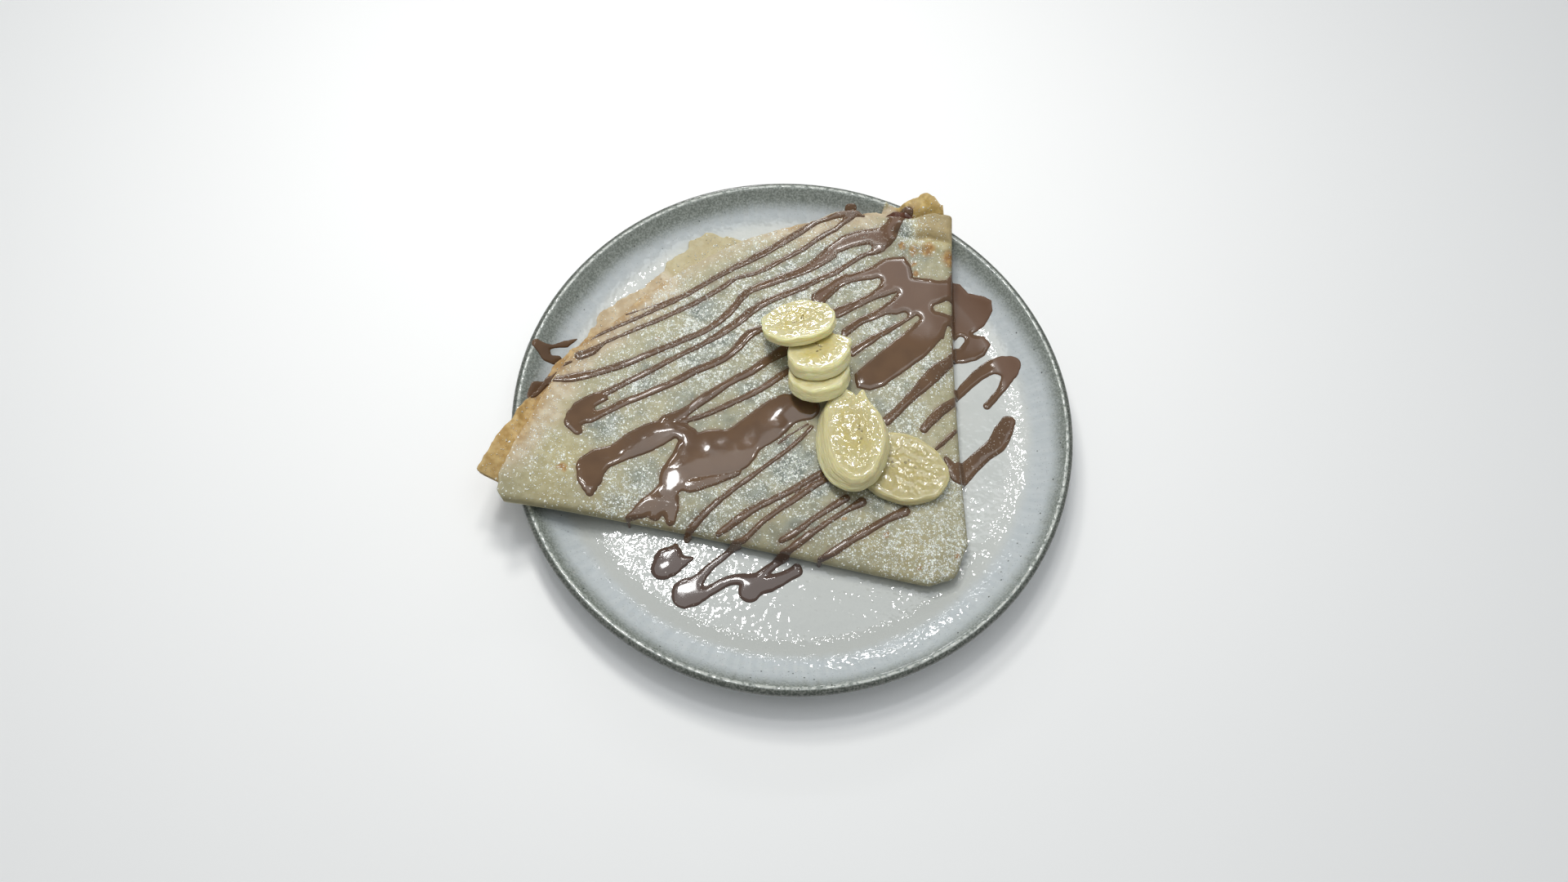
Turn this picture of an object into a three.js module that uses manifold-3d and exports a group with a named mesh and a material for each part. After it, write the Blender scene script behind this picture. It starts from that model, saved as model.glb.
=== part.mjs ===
import * as THREE from 'three';
import { mergeVertices } from 'three/addons/utils/BufferGeometryUtils.js';
import Module from 'manifold-3d';

const wasm = await Module();
wasm.setup();

// Sizes are in millimetres. The plate's axis is at x 0, y 0 and it stands on z 0.
// Plate
const PLATE_RADIUS = 125;
const PLATE_SEGMENTS = 72;
const BASE_TOP = 6.5;
const LIP_TOP = 20;
const LIP_CREST_RADIUS = 121.5;
const WALL_START_RADIUS = 96;
const WALL_POWER = 2.2;
const FOOT_RADIUS = 72;
const FOOT_WIDTH = 7;
const FOOT_RECESS = 2.6;

// Folded crepe, a wedge of polar shape about its apex. Angles are in degrees.
const APEX = new THREE.Vector2(84.5, -72.2);
const RIGHT_CORNER_ANGLE = 96.4;
const NEAR_CORNER_ANGLE = 176.6;
const APEX_CUT = 12.6;
const APEX_CUT_SPREAD = 9.5;
const REACH = 190;
const CREPE_THICKNESS = 9;
const PLATE_GAP = 0.7;
const LIP_GAP = 0.7;
const FOLD_ROUNDING = 3.2;
const LOWER_LAYERS = 4.3;
const SPREAD_GAP = 0.3;
const SPREAD_THICKNESS = 1.4;
const SLOT_START = 0.3;
const SLOT_SIDES = [0.045, 0.95];
const SLOT_OPENING = 24;
const SPREAD_INSET = 0.006;
const RAMP_START = 62;
const RAMP_LENGTH = 60;
const RAMP_HEIGHT = 14.5;
const LEFT_TIP = new THREE.Vector2(-0.918, -0.396);
const FAR_TIP = new THREE.Vector2(0.51, 0.86);

// Radius of the top layer's arc at angles in degrees round the apex
const ARC = [
  [96.4, 180.5], [99.5, 182], [102, 181.5], [106, 185.5], [108.5, 188.5], [110.5, 194], [113, 195.5],
  [116, 195], [121, 197.5], [126, 200], [145, 203], [155, 207], [165, 204.6], [173, 204.4],
  [175.3, 203], [176.6, 200.5],
];
// How far the layers below reach past that arc
const LEDGE = [
  [96.4, 0], [97.5, 0.5], [97.9, 5.5], [99.1, 9], [100.2, 11], [101.6, 10], [104, 7.5], [105.6, 8.5],
  [106.3, 5], [108.6, 4.5], [109.5, 2], [120, 1.5], [125.5, 2.5], [127.4, 8.5], [128.9, 13.5],
  [131.4, 14.5], [132.6, 11.5], [135.6, 11], [137, 7.5], [140.5, 6.5], [145, 9.5], [146.5, 10.5],
  [149, 6], [152, 4.5], [160, 5], [164, 7.5], [168, 9], [172.8, 9.8], [174.2, 0.6], [176.6, 0],
];

// Banana slices: centre, tilt and the heading it rises to, half length, half width,
// heading of the length, thickness, how far the underside is cut off to one side, and how much
// longer and wider it is there.
const SLICES = [
  { name: 'banana_slice_1', at: [-2.7, 39.7, 29.7], tilt: 27, rise: 300, a: 16.8, b: 14.8, turn: 10,
    thick: 5.4, shear: [0, 0.9], flare: [0, 0] },
  { name: 'banana_slice_2', at: [7.7, 24.2, 30.2], tilt: 22, rise: 300, a: 14.2, b: 12.8, turn: 20,
    thick: 7.2, shear: [0, -1.1], flare: [0, 0] },
  { name: 'banana_slice_3', at: [9.0, 16.0, 25.0], tilt: 22, rise: 300, a: 13.9, b: 12.3, turn: 20,
    thick: 7.2, shear: [0, -1.3], flare: [0, 0] },
  { name: 'banana_slice_4', at: [26.6, -11.9, 24.6], tilt: 13, rise: 345, a: 22.4, b: 12.3, turn: 101,
    thick: 8, shear: [-2.4, -1.7], flare: [1.5, 4.5] },
  { name: 'banana_slice_5', at: [49.4, -20.7, 19.1], tilt: 0, rise: 0, a: 20, b: 15.9, turn: 168,
    thick: 4.8, shear: [0, 0.6], flare: [0.8, 0.8] },
];
const SLICE_SEGMENTS = 24;
const SLICE_CLEARANCE = 0.5;

// Sauce lines on the crepe: width at each end, then the plan points that the line runs through
const SAUCE_HEIGHT = 1.1;
const LINES_ON_CREPE = [
  [3, 4, -91, 31, -60, 54, -30, 79, -10, 99],
  [4, 3, -100, 17, -80, 33, -48, 56, -15, 81, 14, 107],
  [4, 4, -109, 1, -80, 16, -55, 32, -32, 56, -6, 75, 14, 95],
  [8, 9, 14, 95, 27, 98, 36, 90],
  [4, 4, -86, 0, -58, 22, -31, 45, -3, 67, 26, 89],
  [9, 12, -88, -4, -95, -11, -97, -20],
  [5, 5, -90, -13, -66, 3, -40, 21, -19, 43],
  [6, 5, -56, -10, -38, 6, -8, 33],
  [3, 4, -50, -9, -26, 5, -5, 23],
  [7, 11, -86, -45, -83, -32, -66, -18, -46, -13],
  [10, 14, -46, -14, -45, -25, -48, -37],
  [21, 10, -40, -25, -26, -19, -12, -6, 6, 6],
  [6, 7, -24, -31, -36, -37, -44, -38],
  [10, 8, -50, -40, -48, -56],
  [9, 5, -53, -44, -67, -57],
  [3, 4, 7, -4, -10, -25, -26, -41, -38, -56],
  [3.5, 4, 15, -25, -7, -41, -27, -58],
  [3.5, 3.5, 17, -28, -3, -45, -15, -58],
  [4, 3.5, 26, -36, 5, -55, 1, -59],
  [5, 4, 33, -37, 12, -54, 5, -60],
  [6, 4, 52, -38, 28, -54, 17, -63],
  [8, 8, 33, 80, 16, 74, 6, 63],
  [13, 13, 41, 84, 40, 75],
  [7, 5, 38, 72, 22, 61, 14, 55],
  [8, 5, 46, 68, 26, 53, 18, 44],
  [14, 9, 59, 74, 62, 62],
  [6, 6, 55, 60, 38, 49, 24, 36],
  [12, 22, 62, 56, 54, 46, 44, 36],
  [22, 11, 44, 36, 36, 28, 28, 20],
  [5, 7, 70, 39, 59, 26, 46, 9],
  [4, 4, 72, 18, 58, 1],
  [7, 9, 70, -12, 76, -22],
];

// Sauce that lies on the plate, listed the same way
const LINES_ON_PLATE = [
  [12, 10, -45, -64, -48, -73],
  [3, 12, -21, -62, -29, -71, -37, -84],
  [12, 5, -37, -84, -25, -79, -14, -76],
  [8, 6, -12, -78, -3, -75.5, 8, -69],
  [6, 5, -9, -74, 1, -62],
  [10, 12, 70, 80, 82, 70],
  [12, 10, 82, 70, 76, 58, 83, 49],
  [7, 5, 83, 49, 78, 42, 69, 40],
  [4, 8, 71, 21, 84, 37, 93, 42],
  [10, 5, 95, 42, 95, 34, 88, 21],
  [9, 9, 75, -19, 88, -3, 97, 13],
  [6, 3, -119, 19, -110, 25, -103, 28],
];

function sample(table, x) {
  const k = Math.max(1, table.findIndex((row) => row[0] >= x));
  const [x0, y0] = table[k - 1];
  const [x1, y1] = table[k];
  const t = THREE.MathUtils.clamp((x - x0) / (x1 - x0), 0, 1);
  return y0 + (y1 - y0) * t * t * (3 - 2 * t);
}

function plateTop(radius) {
  const t = THREE.MathUtils.clamp(
    (radius - WALL_START_RADIUS) / (LIP_CREST_RADIUS - WALL_START_RADIUS), 0, 1);
  return BASE_TOP + (LIP_TOP - BASE_TOP) * Math.pow(t, WALL_POWER);
}

function tipLift(x, y, direction) {
  const t = THREE.MathUtils.clamp((x * direction.x + y * direction.y - RAMP_START) / RAMP_LENGTH, 0, 1.6);
  return RAMP_HEIGHT * t * t;
}

// Underside of the crepe: it lies on the plate and its two tips rise over the lip.
function crepeUnder(x, y) {
  const lift = Math.max(tipLift(x, y, LEFT_TIP), tipLift(x, y, FAR_TIP));
  const radius = Math.hypot(x, y);
  const plate = radius < PLATE_RADIUS + 1 ? plateTop(radius + LIP_GAP) : 0;
  return Math.max(BASE_TOP + lift, plate) + PLATE_GAP;
}

function crepeTop(x, y) {
  return crepeUnder(x, y) + CREPE_THICKNESS;
}

// A closed solid from grids of points that share their edges
function solidFromGrids(grids) {
  const position = [];
  for (const rows of grids) {
    for (let i = 0; i + 1 < rows.length; i += 1) {
      for (let j = 0; j + 1 < rows[i].length; j += 1) {
        const [p, q, r, s] = [rows[i][j], rows[i][j + 1], rows[i + 1][j + 1], rows[i + 1][j]];
        position.push(...p, ...q, ...r, ...p, ...r, ...s);
      }
    }
  }
  const geometry = new THREE.BufferGeometry();
  geometry.setAttribute('position', new THREE.Float32BufferAttribute(position, 3));
  return toManifold(geometry);
}

function signedVolume(vertices, triangles) {
  const corner = [new THREE.Vector3(), new THREE.Vector3(), new THREE.Vector3()];
  let volume = 0;
  for (let k = 0; k < triangles.length; k += 3) {
    corner.forEach((v, n) => v.fromArray(vertices, triangles[k + n] * 3));
    volume += corner[0].dot(corner[1].cross(corner[2])) / 6;
  }
  return volume;
}

function toManifold(source) {
  let geometry = source.clone();
  geometry.deleteAttribute('normal');
  geometry.deleteAttribute('uv');
  geometry = mergeVertices(geometry, 1e-3);
  const vertices = geometry.attributes.position.array;
  const index = geometry.index.array;
  let triangles = [];
  for (let k = 0; k < index.length; k += 3) {
    const [p, q, r] = [index[k], index[k + 1], index[k + 2]];
    if (p !== q && q !== r && r !== p) {
      triangles.push(p, q, r);
    }
  }
  if (signedVolume(vertices, triangles) < 0) {
    triangles = triangles.reverse();
  }
  return new wasm.Manifold(new wasm.Mesh({
    numProp: 3,
    vertProperties: new Float32Array(vertices),
    triVerts: new Uint32Array(triangles),
  }));
}

function toGeometry(manifold) {
  const mesh = manifold.getMesh();
  const geometry = new THREE.BufferGeometry();
  geometry.setAttribute('position', new THREE.Float32BufferAttribute(mesh.vertProperties, 3));
  geometry.setIndex(Array.from(mesh.triVerts));
  geometry.computeVertexNormals();
  return geometry;
}

// Plate with a foot ring, a shallow dish and a rounded lip
function plateBody() {
  const profile = [
    [0, FOOT_RECESS], [FOOT_RADIUS - FOOT_WIDTH - 2, FOOT_RECESS],
    [FOOT_RADIUS - FOOT_WIDTH, 0], [FOOT_RADIUS, 0],
    [FOOT_RADIUS + 2.5, 2.8], [96, 3.6], [108, 6.6], [117, 11], [123, 15], [PLATE_RADIUS, 17.4],
    [124.4, 19.4], [122.9, LIP_TOP],
  ];
  for (const radius of [LIP_CREST_RADIUS, 119, 115.5, 111, 106, 101]) {
    profile.push([radius, plateTop(radius)]);
  }
  profile.push([WALL_START_RADIUS - 2, BASE_TOP], [0, BASE_TOP]);
  const points = profile.map(([x, y]) => new THREE.Vector2(x, y));
  const geometry = new THREE.LatheGeometry(points, PLATE_SEGMENTS);
  geometry.rotateX(Math.PI / 2);
  return toManifold(geometry);
}

// The two straight sides are folds that bow a little: their angle at a distance from the apex
function rightFold(distance) {
  return RIGHT_CORNER_ANGLE + 3.2 * Math.pow(Math.max(0, 1 - distance / 170), 1.6);
}

function nearFold(distance) {
  const outer = 2.3 * Math.pow(Math.max(0, distance - 120) / 78, 2);
  return NEAR_CORNER_ANGLE - 2.3 + outer + 1.6 * Math.exp(-distance / 30);
}

// Plan point at a share of the way from the blunt apex to the arc and from fold to fold
function planPoint(along, across, extra) {
  const arcAngle = THREE.MathUtils.lerp(RIGHT_CORNER_ANGLE, NEAR_CORNER_ANGLE, across);
  const blunt = APEX_CUT + APEX_CUT_SPREAD * Math.pow(Math.abs(2 * across - 1), 2.2) - 3 * across;
  const arc = sample(ARC, arcAngle) + extra * sample(LEDGE, arcAngle);
  const distance = THREE.MathUtils.lerp(blunt, arc, along);
  const angle = THREE.MathUtils.lerp(rightFold(distance), nearFold(distance), across);
  const radians = THREE.MathUtils.degToRad(angle);
  return [APEX.x + distance * Math.cos(radians), APEX.y + distance * Math.sin(radians)];
}

// Half height of the rounded folds, as a share of the full thickness
function foldShare(distance) {
  const t = 1 - THREE.MathUtils.clamp(distance / FOLD_ROUNDING, 0, 1);
  return Math.sqrt(1 - t * t);
}

// Shares at which the surface is cut into rows and columns, close together at the folds
const ACROSS = [0, 0.0045, 0.014, 0.02];
for (let k = 1; k < 25; k += 1) {
  ACROSS.push(0.02 + 0.938 * k / 25);
}
ACROSS.push(0.958, 0.968, 0.9885, 0.9955, 1);
const ALONG = [0, 0.004, 0.018, 0.08, 0.2, 0.35, 0.5, 0.6, 0.69, 0.77, 0.84, 0.89, 0.93, 0.965, 1];

function crepePoint(along, across, extra, level, inset) {
  const [x, y] = planPoint(along - inset / REACH, across, extra);
  const under = crepeUnder(x, y);
  const sideways = Math.min(across, 1 - across) * 1.4 * Math.max(along, 0.2) * REACH;
  const share = foldShare(Math.min(sideways, along * REACH));
  const middle = CREPE_THICKNESS / 2;
  return [x, y, under + middle + (level - middle) * share];
}

// The folded sheets in one piece, their edges stepped along the arc
function crepeBody() {
  const topRows = ALONG.map((along) => (
    ACROSS.map((across) => crepePoint(along, across, 0, CREPE_THICKNESS, 0))));
  // Each edge row: reach of the ledge, level above the underside, distance back from the edge
  const edge = [
    [0, 8.2, -0.6], [0, 6.9, -0.2], [0, 6.3, 0.8], [0.9, 4.2, 0.6], [1, 3.5, 0], [0.96, 2.5, 0.7],
    [0.9, 2.2, 1.6], [0.92, 1.9, 1.2], [0.96, 1, 0.5],
  ];
  const edgeRows = edge.map(([extra, level, inset]) => ACROSS.map((across, n) => {
    const closed = n === 0 || n === ACROSS.length - 1;
    return crepePoint(1, across, closed ? 0 : extra, level, closed ? 0 : inset);
  }));
  const bottomRows = ALONG.map((along, n) => ACROSS.map((across, m) => {
    const closed = m === 0 || m === ACROSS.length - 1;
    const last = n === ALONG.length - 1;
    return crepePoint(along, across, closed ? 0 : 0.96 * along, 0, last && !closed ? 1.2 : 0);
  }));
  bottomRows[0] = topRows[0];
  edgeRows.push(bottomRows[bottomRows.length - 1]);
  return solidFromGrids([[...topRows, ...edgeRows], bottomRows.map((row) => [...row].reverse())]);
}

// A sheet that follows the crepe between two levels, used for the spread and for its slot
function sheet(low, high) {
  const top = [];
  const bottom = [];
  const steps = 9;
  const columns = 20;
  for (let i = 0; i <= steps; i += 1) {
    const along = THREE.MathUtils.lerp(SLOT_START, 1 + SLOT_OPENING / REACH, i / steps);
    const plan = [];
    for (let j = 0; j <= columns; j += 1) {
      plan.push(planPoint(along, THREE.MathUtils.lerp(SLOT_SIDES[0], SLOT_SIDES[1], j / columns), 0));
    }
    top.push(plan.map(([x, y]) => [x, y, crepeUnder(x, y) + high]));
    bottom.push(plan.map(([x, y]) => [x, y, crepeUnder(x, y) + low]));
  }
  const left = top.map((row, i) => [bottom[i][0], row[0]]);
  const right = top.map((row, i) => [row[columns], bottom[i][columns]]);
  const start = [bottom[0], top[0]];
  const finish = [top[steps], bottom[steps]];
  return solidFromGrids([top, bottom.map((row) => [...row].reverse()), left, right, start, finish]);
}

function prism(outline) {
  const points = outline.map(([x, y]) => new THREE.Vector2(x, y));
  return toManifold(new THREE.ExtrudeGeometry(new THREE.Shape(points), { depth: 60, bevelEnabled: false }));
}

function acrossSpread(share) {
  return THREE.MathUtils.lerp(SLOT_SIDES[0] + SPREAD_INSET, SLOT_SIDES[1] - SPREAD_INSET, share);
}

// Outline of the spread: short of the arc, and squeezed out past it at the far tip
function spreadPrism() {
  const outline = [];
  const columns = 24;
  for (let j = 0; j <= columns; j += 1) {
    const across = acrossSpread(j / columns);
    const squeezed = Math.exp(-Math.pow((across - 0.09) / 0.035, 2));
    outline.push(planPoint(1 + (8 * squeezed - 2.2) / REACH, across, 0));
  }
  const sides = [0.85, 0.7, 0.55, 0.42];
  sides.forEach((along) => outline.push(planPoint(along, acrossSpread(1), 0)));
  for (let j = columns; j >= 0; j -= 1) {
    outline.push(planPoint(SLOT_START + SPREAD_INSET, acrossSpread(j / columns), 0));
  }
  sides.reverse().forEach((along) => outline.push(planPoint(along, acrossSpread(0), 0)));
  return prism(outline);
}

// One line of sauce with a flat bottom sunk into the ground and a rounded back
function sauceLine([startWidth, endWidth, ...plan], ground, height) {
  const knots = [];
  for (let k = 0; k < plan.length; k += 2) {
    knots.push(new THREE.Vector3(plan[k], plan[k + 1], 0));
  }
  const curve = new THREE.CatmullRomCurve3(knots);
  const steps = Math.max(2, Math.round(curve.getLength() / 11));
  const rings = [];
  for (let k = 0; k <= steps; k += 1) {
    const t = k / steps;
    const point = curve.getPointAt(t);
    const tangent = curve.getTangentAt(t);
    const taper = k === 0 || k === steps ? 0.6 : 1;
    const width = THREE.MathUtils.lerp(startWidth, endWidth, t) * taper;
    const rise = height * taper * Math.min(1, 0.5 + width / 14);
    const section = [[-0.5, -0.7], [-0.28, rise], [0.28, rise], [0.5, -0.7]];
    rings.push(section.map(([side, lift]) => {
      const x = point.x - tangent.y * side * width;
      const y = point.y + tangent.x * side * width;
      return [x, y, ground(x, y) + lift];
    }));
  }
  const closed = rings.map((ring) => [...ring, ring[0]]);
  const first = [[rings[0][1], rings[0][0]], [rings[0][2], rings[0][3]]];
  const last = [[rings[steps][0], rings[steps][1]], [rings[steps][3], rings[steps][2]]];
  return solidFromGrids([closed, first, last]);
}

// Upright prism over the crepe's outline, moved outwards
function outlinePrism(offset, extra) {
  const outline = [];
  ALONG.forEach((along) => outline.push(planPoint(along, 0, extra)));
  ACROSS.slice(1, -1).forEach((across) => outline.push(planPoint(1, across, extra)));
  [...ALONG].reverse().forEach((along) => outline.push(planPoint(along, 1, extra)));
  ACROSS.slice(1, -1).reverse().forEach((across) => outline.push(planPoint(0, across, extra)));
  return prism(outline.map(([x, y]) => {
    const share = 1 + offset / Math.hypot(x, y);
    return [x * share, y * share];
  }));
}

// Oval slice with a softened rim, a slanted wall and a slight unevenness
function bananaSlice({ at, tilt, rise, a, b, turn, thick, shear, flare }, grow) {
  const levels = [
    [0.5, 0.55], [0.5, 0.9], [0.36, 0.995], [0.05, 1.01], [-0.35, 1], [-0.5, 0.93], [-0.5, 0.5],
  ];
  const rings = levels.map(([level, scale]) => {
    const ring = [];
    for (let k = 0; k <= SLICE_SEGMENTS; k += 1) {
      const angle = 2 * Math.PI * (k % SLICE_SEGMENTS) / SLICE_SEGMENTS;
      const wobble = 1 + 0.022 * Math.sin(3 * angle + at[0]) + 0.014 * Math.sin(5 * angle + at[1]);
      ring.push([
        (a + grow + flare[0] * (0.5 - level)) * scale * wobble * Math.cos(angle),
        (b + grow + flare[1] * (0.5 - level)) * scale * wobble * Math.sin(angle),
        level * (thick + 2 * grow),
        level,
      ]);
    }
    return ring;
  });
  const top = rings[0].map(() => [0, 0, 0.5 * (thick + 2 * grow), 0.5]);
  const bottom = rings[0].map(() => [0, 0, -0.5 * (thick + 2 * grow), -0.5]);
  const heading = new THREE.Quaternion().setFromAxisAngle(
    new THREE.Vector3(0, 0, 1), THREE.MathUtils.degToRad(turn));
  const risen = THREE.MathUtils.degToRad(rise);
  const lean = new THREE.Quaternion().setFromAxisAngle(
    new THREE.Vector3(Math.sin(risen), -Math.cos(risen), 0), THREE.MathUtils.degToRad(tilt));
  const place = ([x, y, z, level]) => new THREE.Vector3(x, y, z)
    .applyQuaternion(heading)
    .add(new THREE.Vector3(-level * shear[0], -level * shear[1], 0))
    .applyQuaternion(lean)
    .add(new THREE.Vector3(...at))
    .toArray();
  return solidFromGrids([[top, ...rings, bottom].map((ring) => ring.map(place))]);
}

function joined(solids) {
  return solids.reduce((sum, solid) => sum.add(solid));
}

const crepeLines = joined(LINES_ON_CREPE.map((line) => sauceLine(line, crepeTop, SAUCE_HEIGHT)));
const slotHigh = LOWER_LAYERS + SPREAD_THICKNESS + 2 * SPREAD_GAP;
const slot = sheet(LOWER_LAYERS, slotHigh);
const spread = sheet(LOWER_LAYERS + SPREAD_GAP, slotHigh - SPREAD_GAP).intersect(spreadPrism());
const roomForSlices = joined(SLICES.map((slice) => bananaSlice(slice, SLICE_CLEARANCE)));
const crepe = crepeBody().subtract(slot)
  .add(crepeLines.intersect(outlinePrism(-1.2, 0)).subtract(roomForSlices));

const plateGround = (x, y) => plateTop(Math.hypot(x, y));
const plateLines = joined(LINES_ON_PLATE.map((line) => sauceLine(line, plateGround, SAUCE_HEIGHT)));
const plate = plateBody().add(plateLines.subtract(outlinePrism(1.2, 1)));

const glazed = new THREE.MeshStandardMaterial({ color: 0xd9dcda, roughness: 0.22, metalness: 0 });
const baked = new THREE.MeshStandardMaterial({ color: 0xc9bf98, roughness: 0.75, metalness: 0 });
const cocoa = new THREE.MeshStandardMaterial({ color: 0x5e4030, roughness: 0.3, metalness: 0 });
const fruit = new THREE.MeshStandardMaterial({ color: 0xd8d096, roughness: 0.4, metalness: 0 });

const pieces = [
  ['plate', plate, glazed],
  ['crepe', crepe, baked],
  ['hazelnut_spread', spread, cocoa],
  ...SLICES.map((slice) => [slice.name, bananaSlice(slice, 0), fruit]),
];

const group = new THREE.Group();
for (const [name, solid, material] of pieces) {
  const mesh = new THREE.Mesh(toGeometry(solid), material);
  mesh.name = name;
  group.add(mesh);
}

// The origin is the bottom centre of the whole part's box.
const box = new THREE.Box3().setFromObject(group);
const middle = box.getCenter(new THREE.Vector3());
group.children.forEach((mesh) => mesh.geometry.translate(-middle.x, -middle.y, -box.min.z));

export default group;
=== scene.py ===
import math

import bpy
import numpy as np
from mathutils import Matrix, Vector


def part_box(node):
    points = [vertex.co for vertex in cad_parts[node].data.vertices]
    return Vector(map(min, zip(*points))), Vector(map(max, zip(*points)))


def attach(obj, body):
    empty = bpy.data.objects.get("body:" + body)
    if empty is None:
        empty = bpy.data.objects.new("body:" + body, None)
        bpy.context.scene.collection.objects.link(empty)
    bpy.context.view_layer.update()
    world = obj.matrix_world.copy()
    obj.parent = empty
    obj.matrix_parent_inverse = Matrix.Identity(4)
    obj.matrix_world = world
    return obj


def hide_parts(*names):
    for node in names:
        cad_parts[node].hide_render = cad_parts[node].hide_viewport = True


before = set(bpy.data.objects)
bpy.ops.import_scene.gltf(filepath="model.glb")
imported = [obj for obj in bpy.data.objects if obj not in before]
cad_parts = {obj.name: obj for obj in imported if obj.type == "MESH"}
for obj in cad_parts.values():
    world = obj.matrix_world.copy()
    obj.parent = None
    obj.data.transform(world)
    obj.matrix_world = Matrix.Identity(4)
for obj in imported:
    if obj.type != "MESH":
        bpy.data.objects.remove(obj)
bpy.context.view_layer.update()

# Sizes below are in millimetres, and plan places are measured from the plate's axis.
MM = 0.001
PLATE_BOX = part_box("plate")
AXIS = np.array([(PLATE_BOX[0][0] + PLATE_BOX[1][0]) / 2, (PLATE_BOX[0][1] + PLATE_BOX[1][1]) / 2, 0.0])

# Plate
PLATE_RADIUS = 125.0
BASE_TOP = 6.5
LIP_TOP = 20.0
LIP_CREST_RADIUS = 121.5
WALL_START_RADIUS = 96.0
WALL_POWER = 2.2
FOOT_RADIUS = 72.0
FOOT_WIDTH = 7.0
FOOT_RECESS = 2.6

# Folded crepe, a wedge about its apex. Angles are in degrees. The arc and the ledge of lower sheets past
# it are given as angle and reach.
APEX = (84.5, -72.2)
RIGHT_CORNER_ANGLE = 96.4
NEAR_CORNER_ANGLE = 176.6
APEX_CUT = 12.6
APEX_CUT_SPREAD = 9.5
REACH = 190.0
THICKNESS = 9.0
PLATE_GAP = 0.7
LIP_GAP = 0.7
FOLD_ROUNDING = 3.2
FOLD_SOFTNESS = 0.36
LEDGE_LEVEL = 4.4
RAMP_START = 62.0
RAMP_LENGTH = 60.0
RAMP_HEIGHT = 14.5
LEFT_TIP = (-0.918, -0.396)
FAR_TIP = (0.51, 0.86)
FAR_PEAK = (32, 115.5)
CREASE = [(39, 99), (47, 96.2), (54, 97), (60, 96), (66, 95)]
ARC = [(96.4, 180.5), (99.5, 182), (102, 181.5), (106, 185.5), (108.5, 188.5), (110.5, 194),
       (113, 195.5), (116, 195), (121, 197.5), (126, 200), (145, 203), (155, 207), (165, 204.6),
       (173, 204.4), (175.3, 203), (176.6, 200.5)]
LEDGE = [(96.4, 0), (97.5, 0.5), (97.9, 5.5), (99.1, 9), (100.2, 11), (101.6, 10), (104, 7.5),
         (105.6, 8.5), (106.3, 5), (108.6, 4.5), (109.5, 2), (120, 1.5), (125.5, 2.5), (127.4, 8.5),
         (128.9, 13.5), (131.4, 14.5), (132.6, 11.5), (135.6, 11), (137, 7.5), (140.5, 6.5),
         (145, 9.5), (146.5, 10.5), (149, 6), (152, 4.5), (160, 5), (164, 7.5), (168, 9), (172.8, 9.8),
         (174.2, 0.6), (176.6, 0)]

# Mark of the rows below the crepe, which carry no colour of the top or the ledge
UNDERSIDE = 0.4

# Spread in the fold: from side to side, where it starts, and its levels over the crepe's underside
SPREAD_SIDES = (0.051, 0.944)
SPREAD_START = 0.306
SPREAD_LOW = LEDGE_LEVEL + 0.25
SPREAD_HIGH = LEDGE_LEVEL + 1.6

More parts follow.
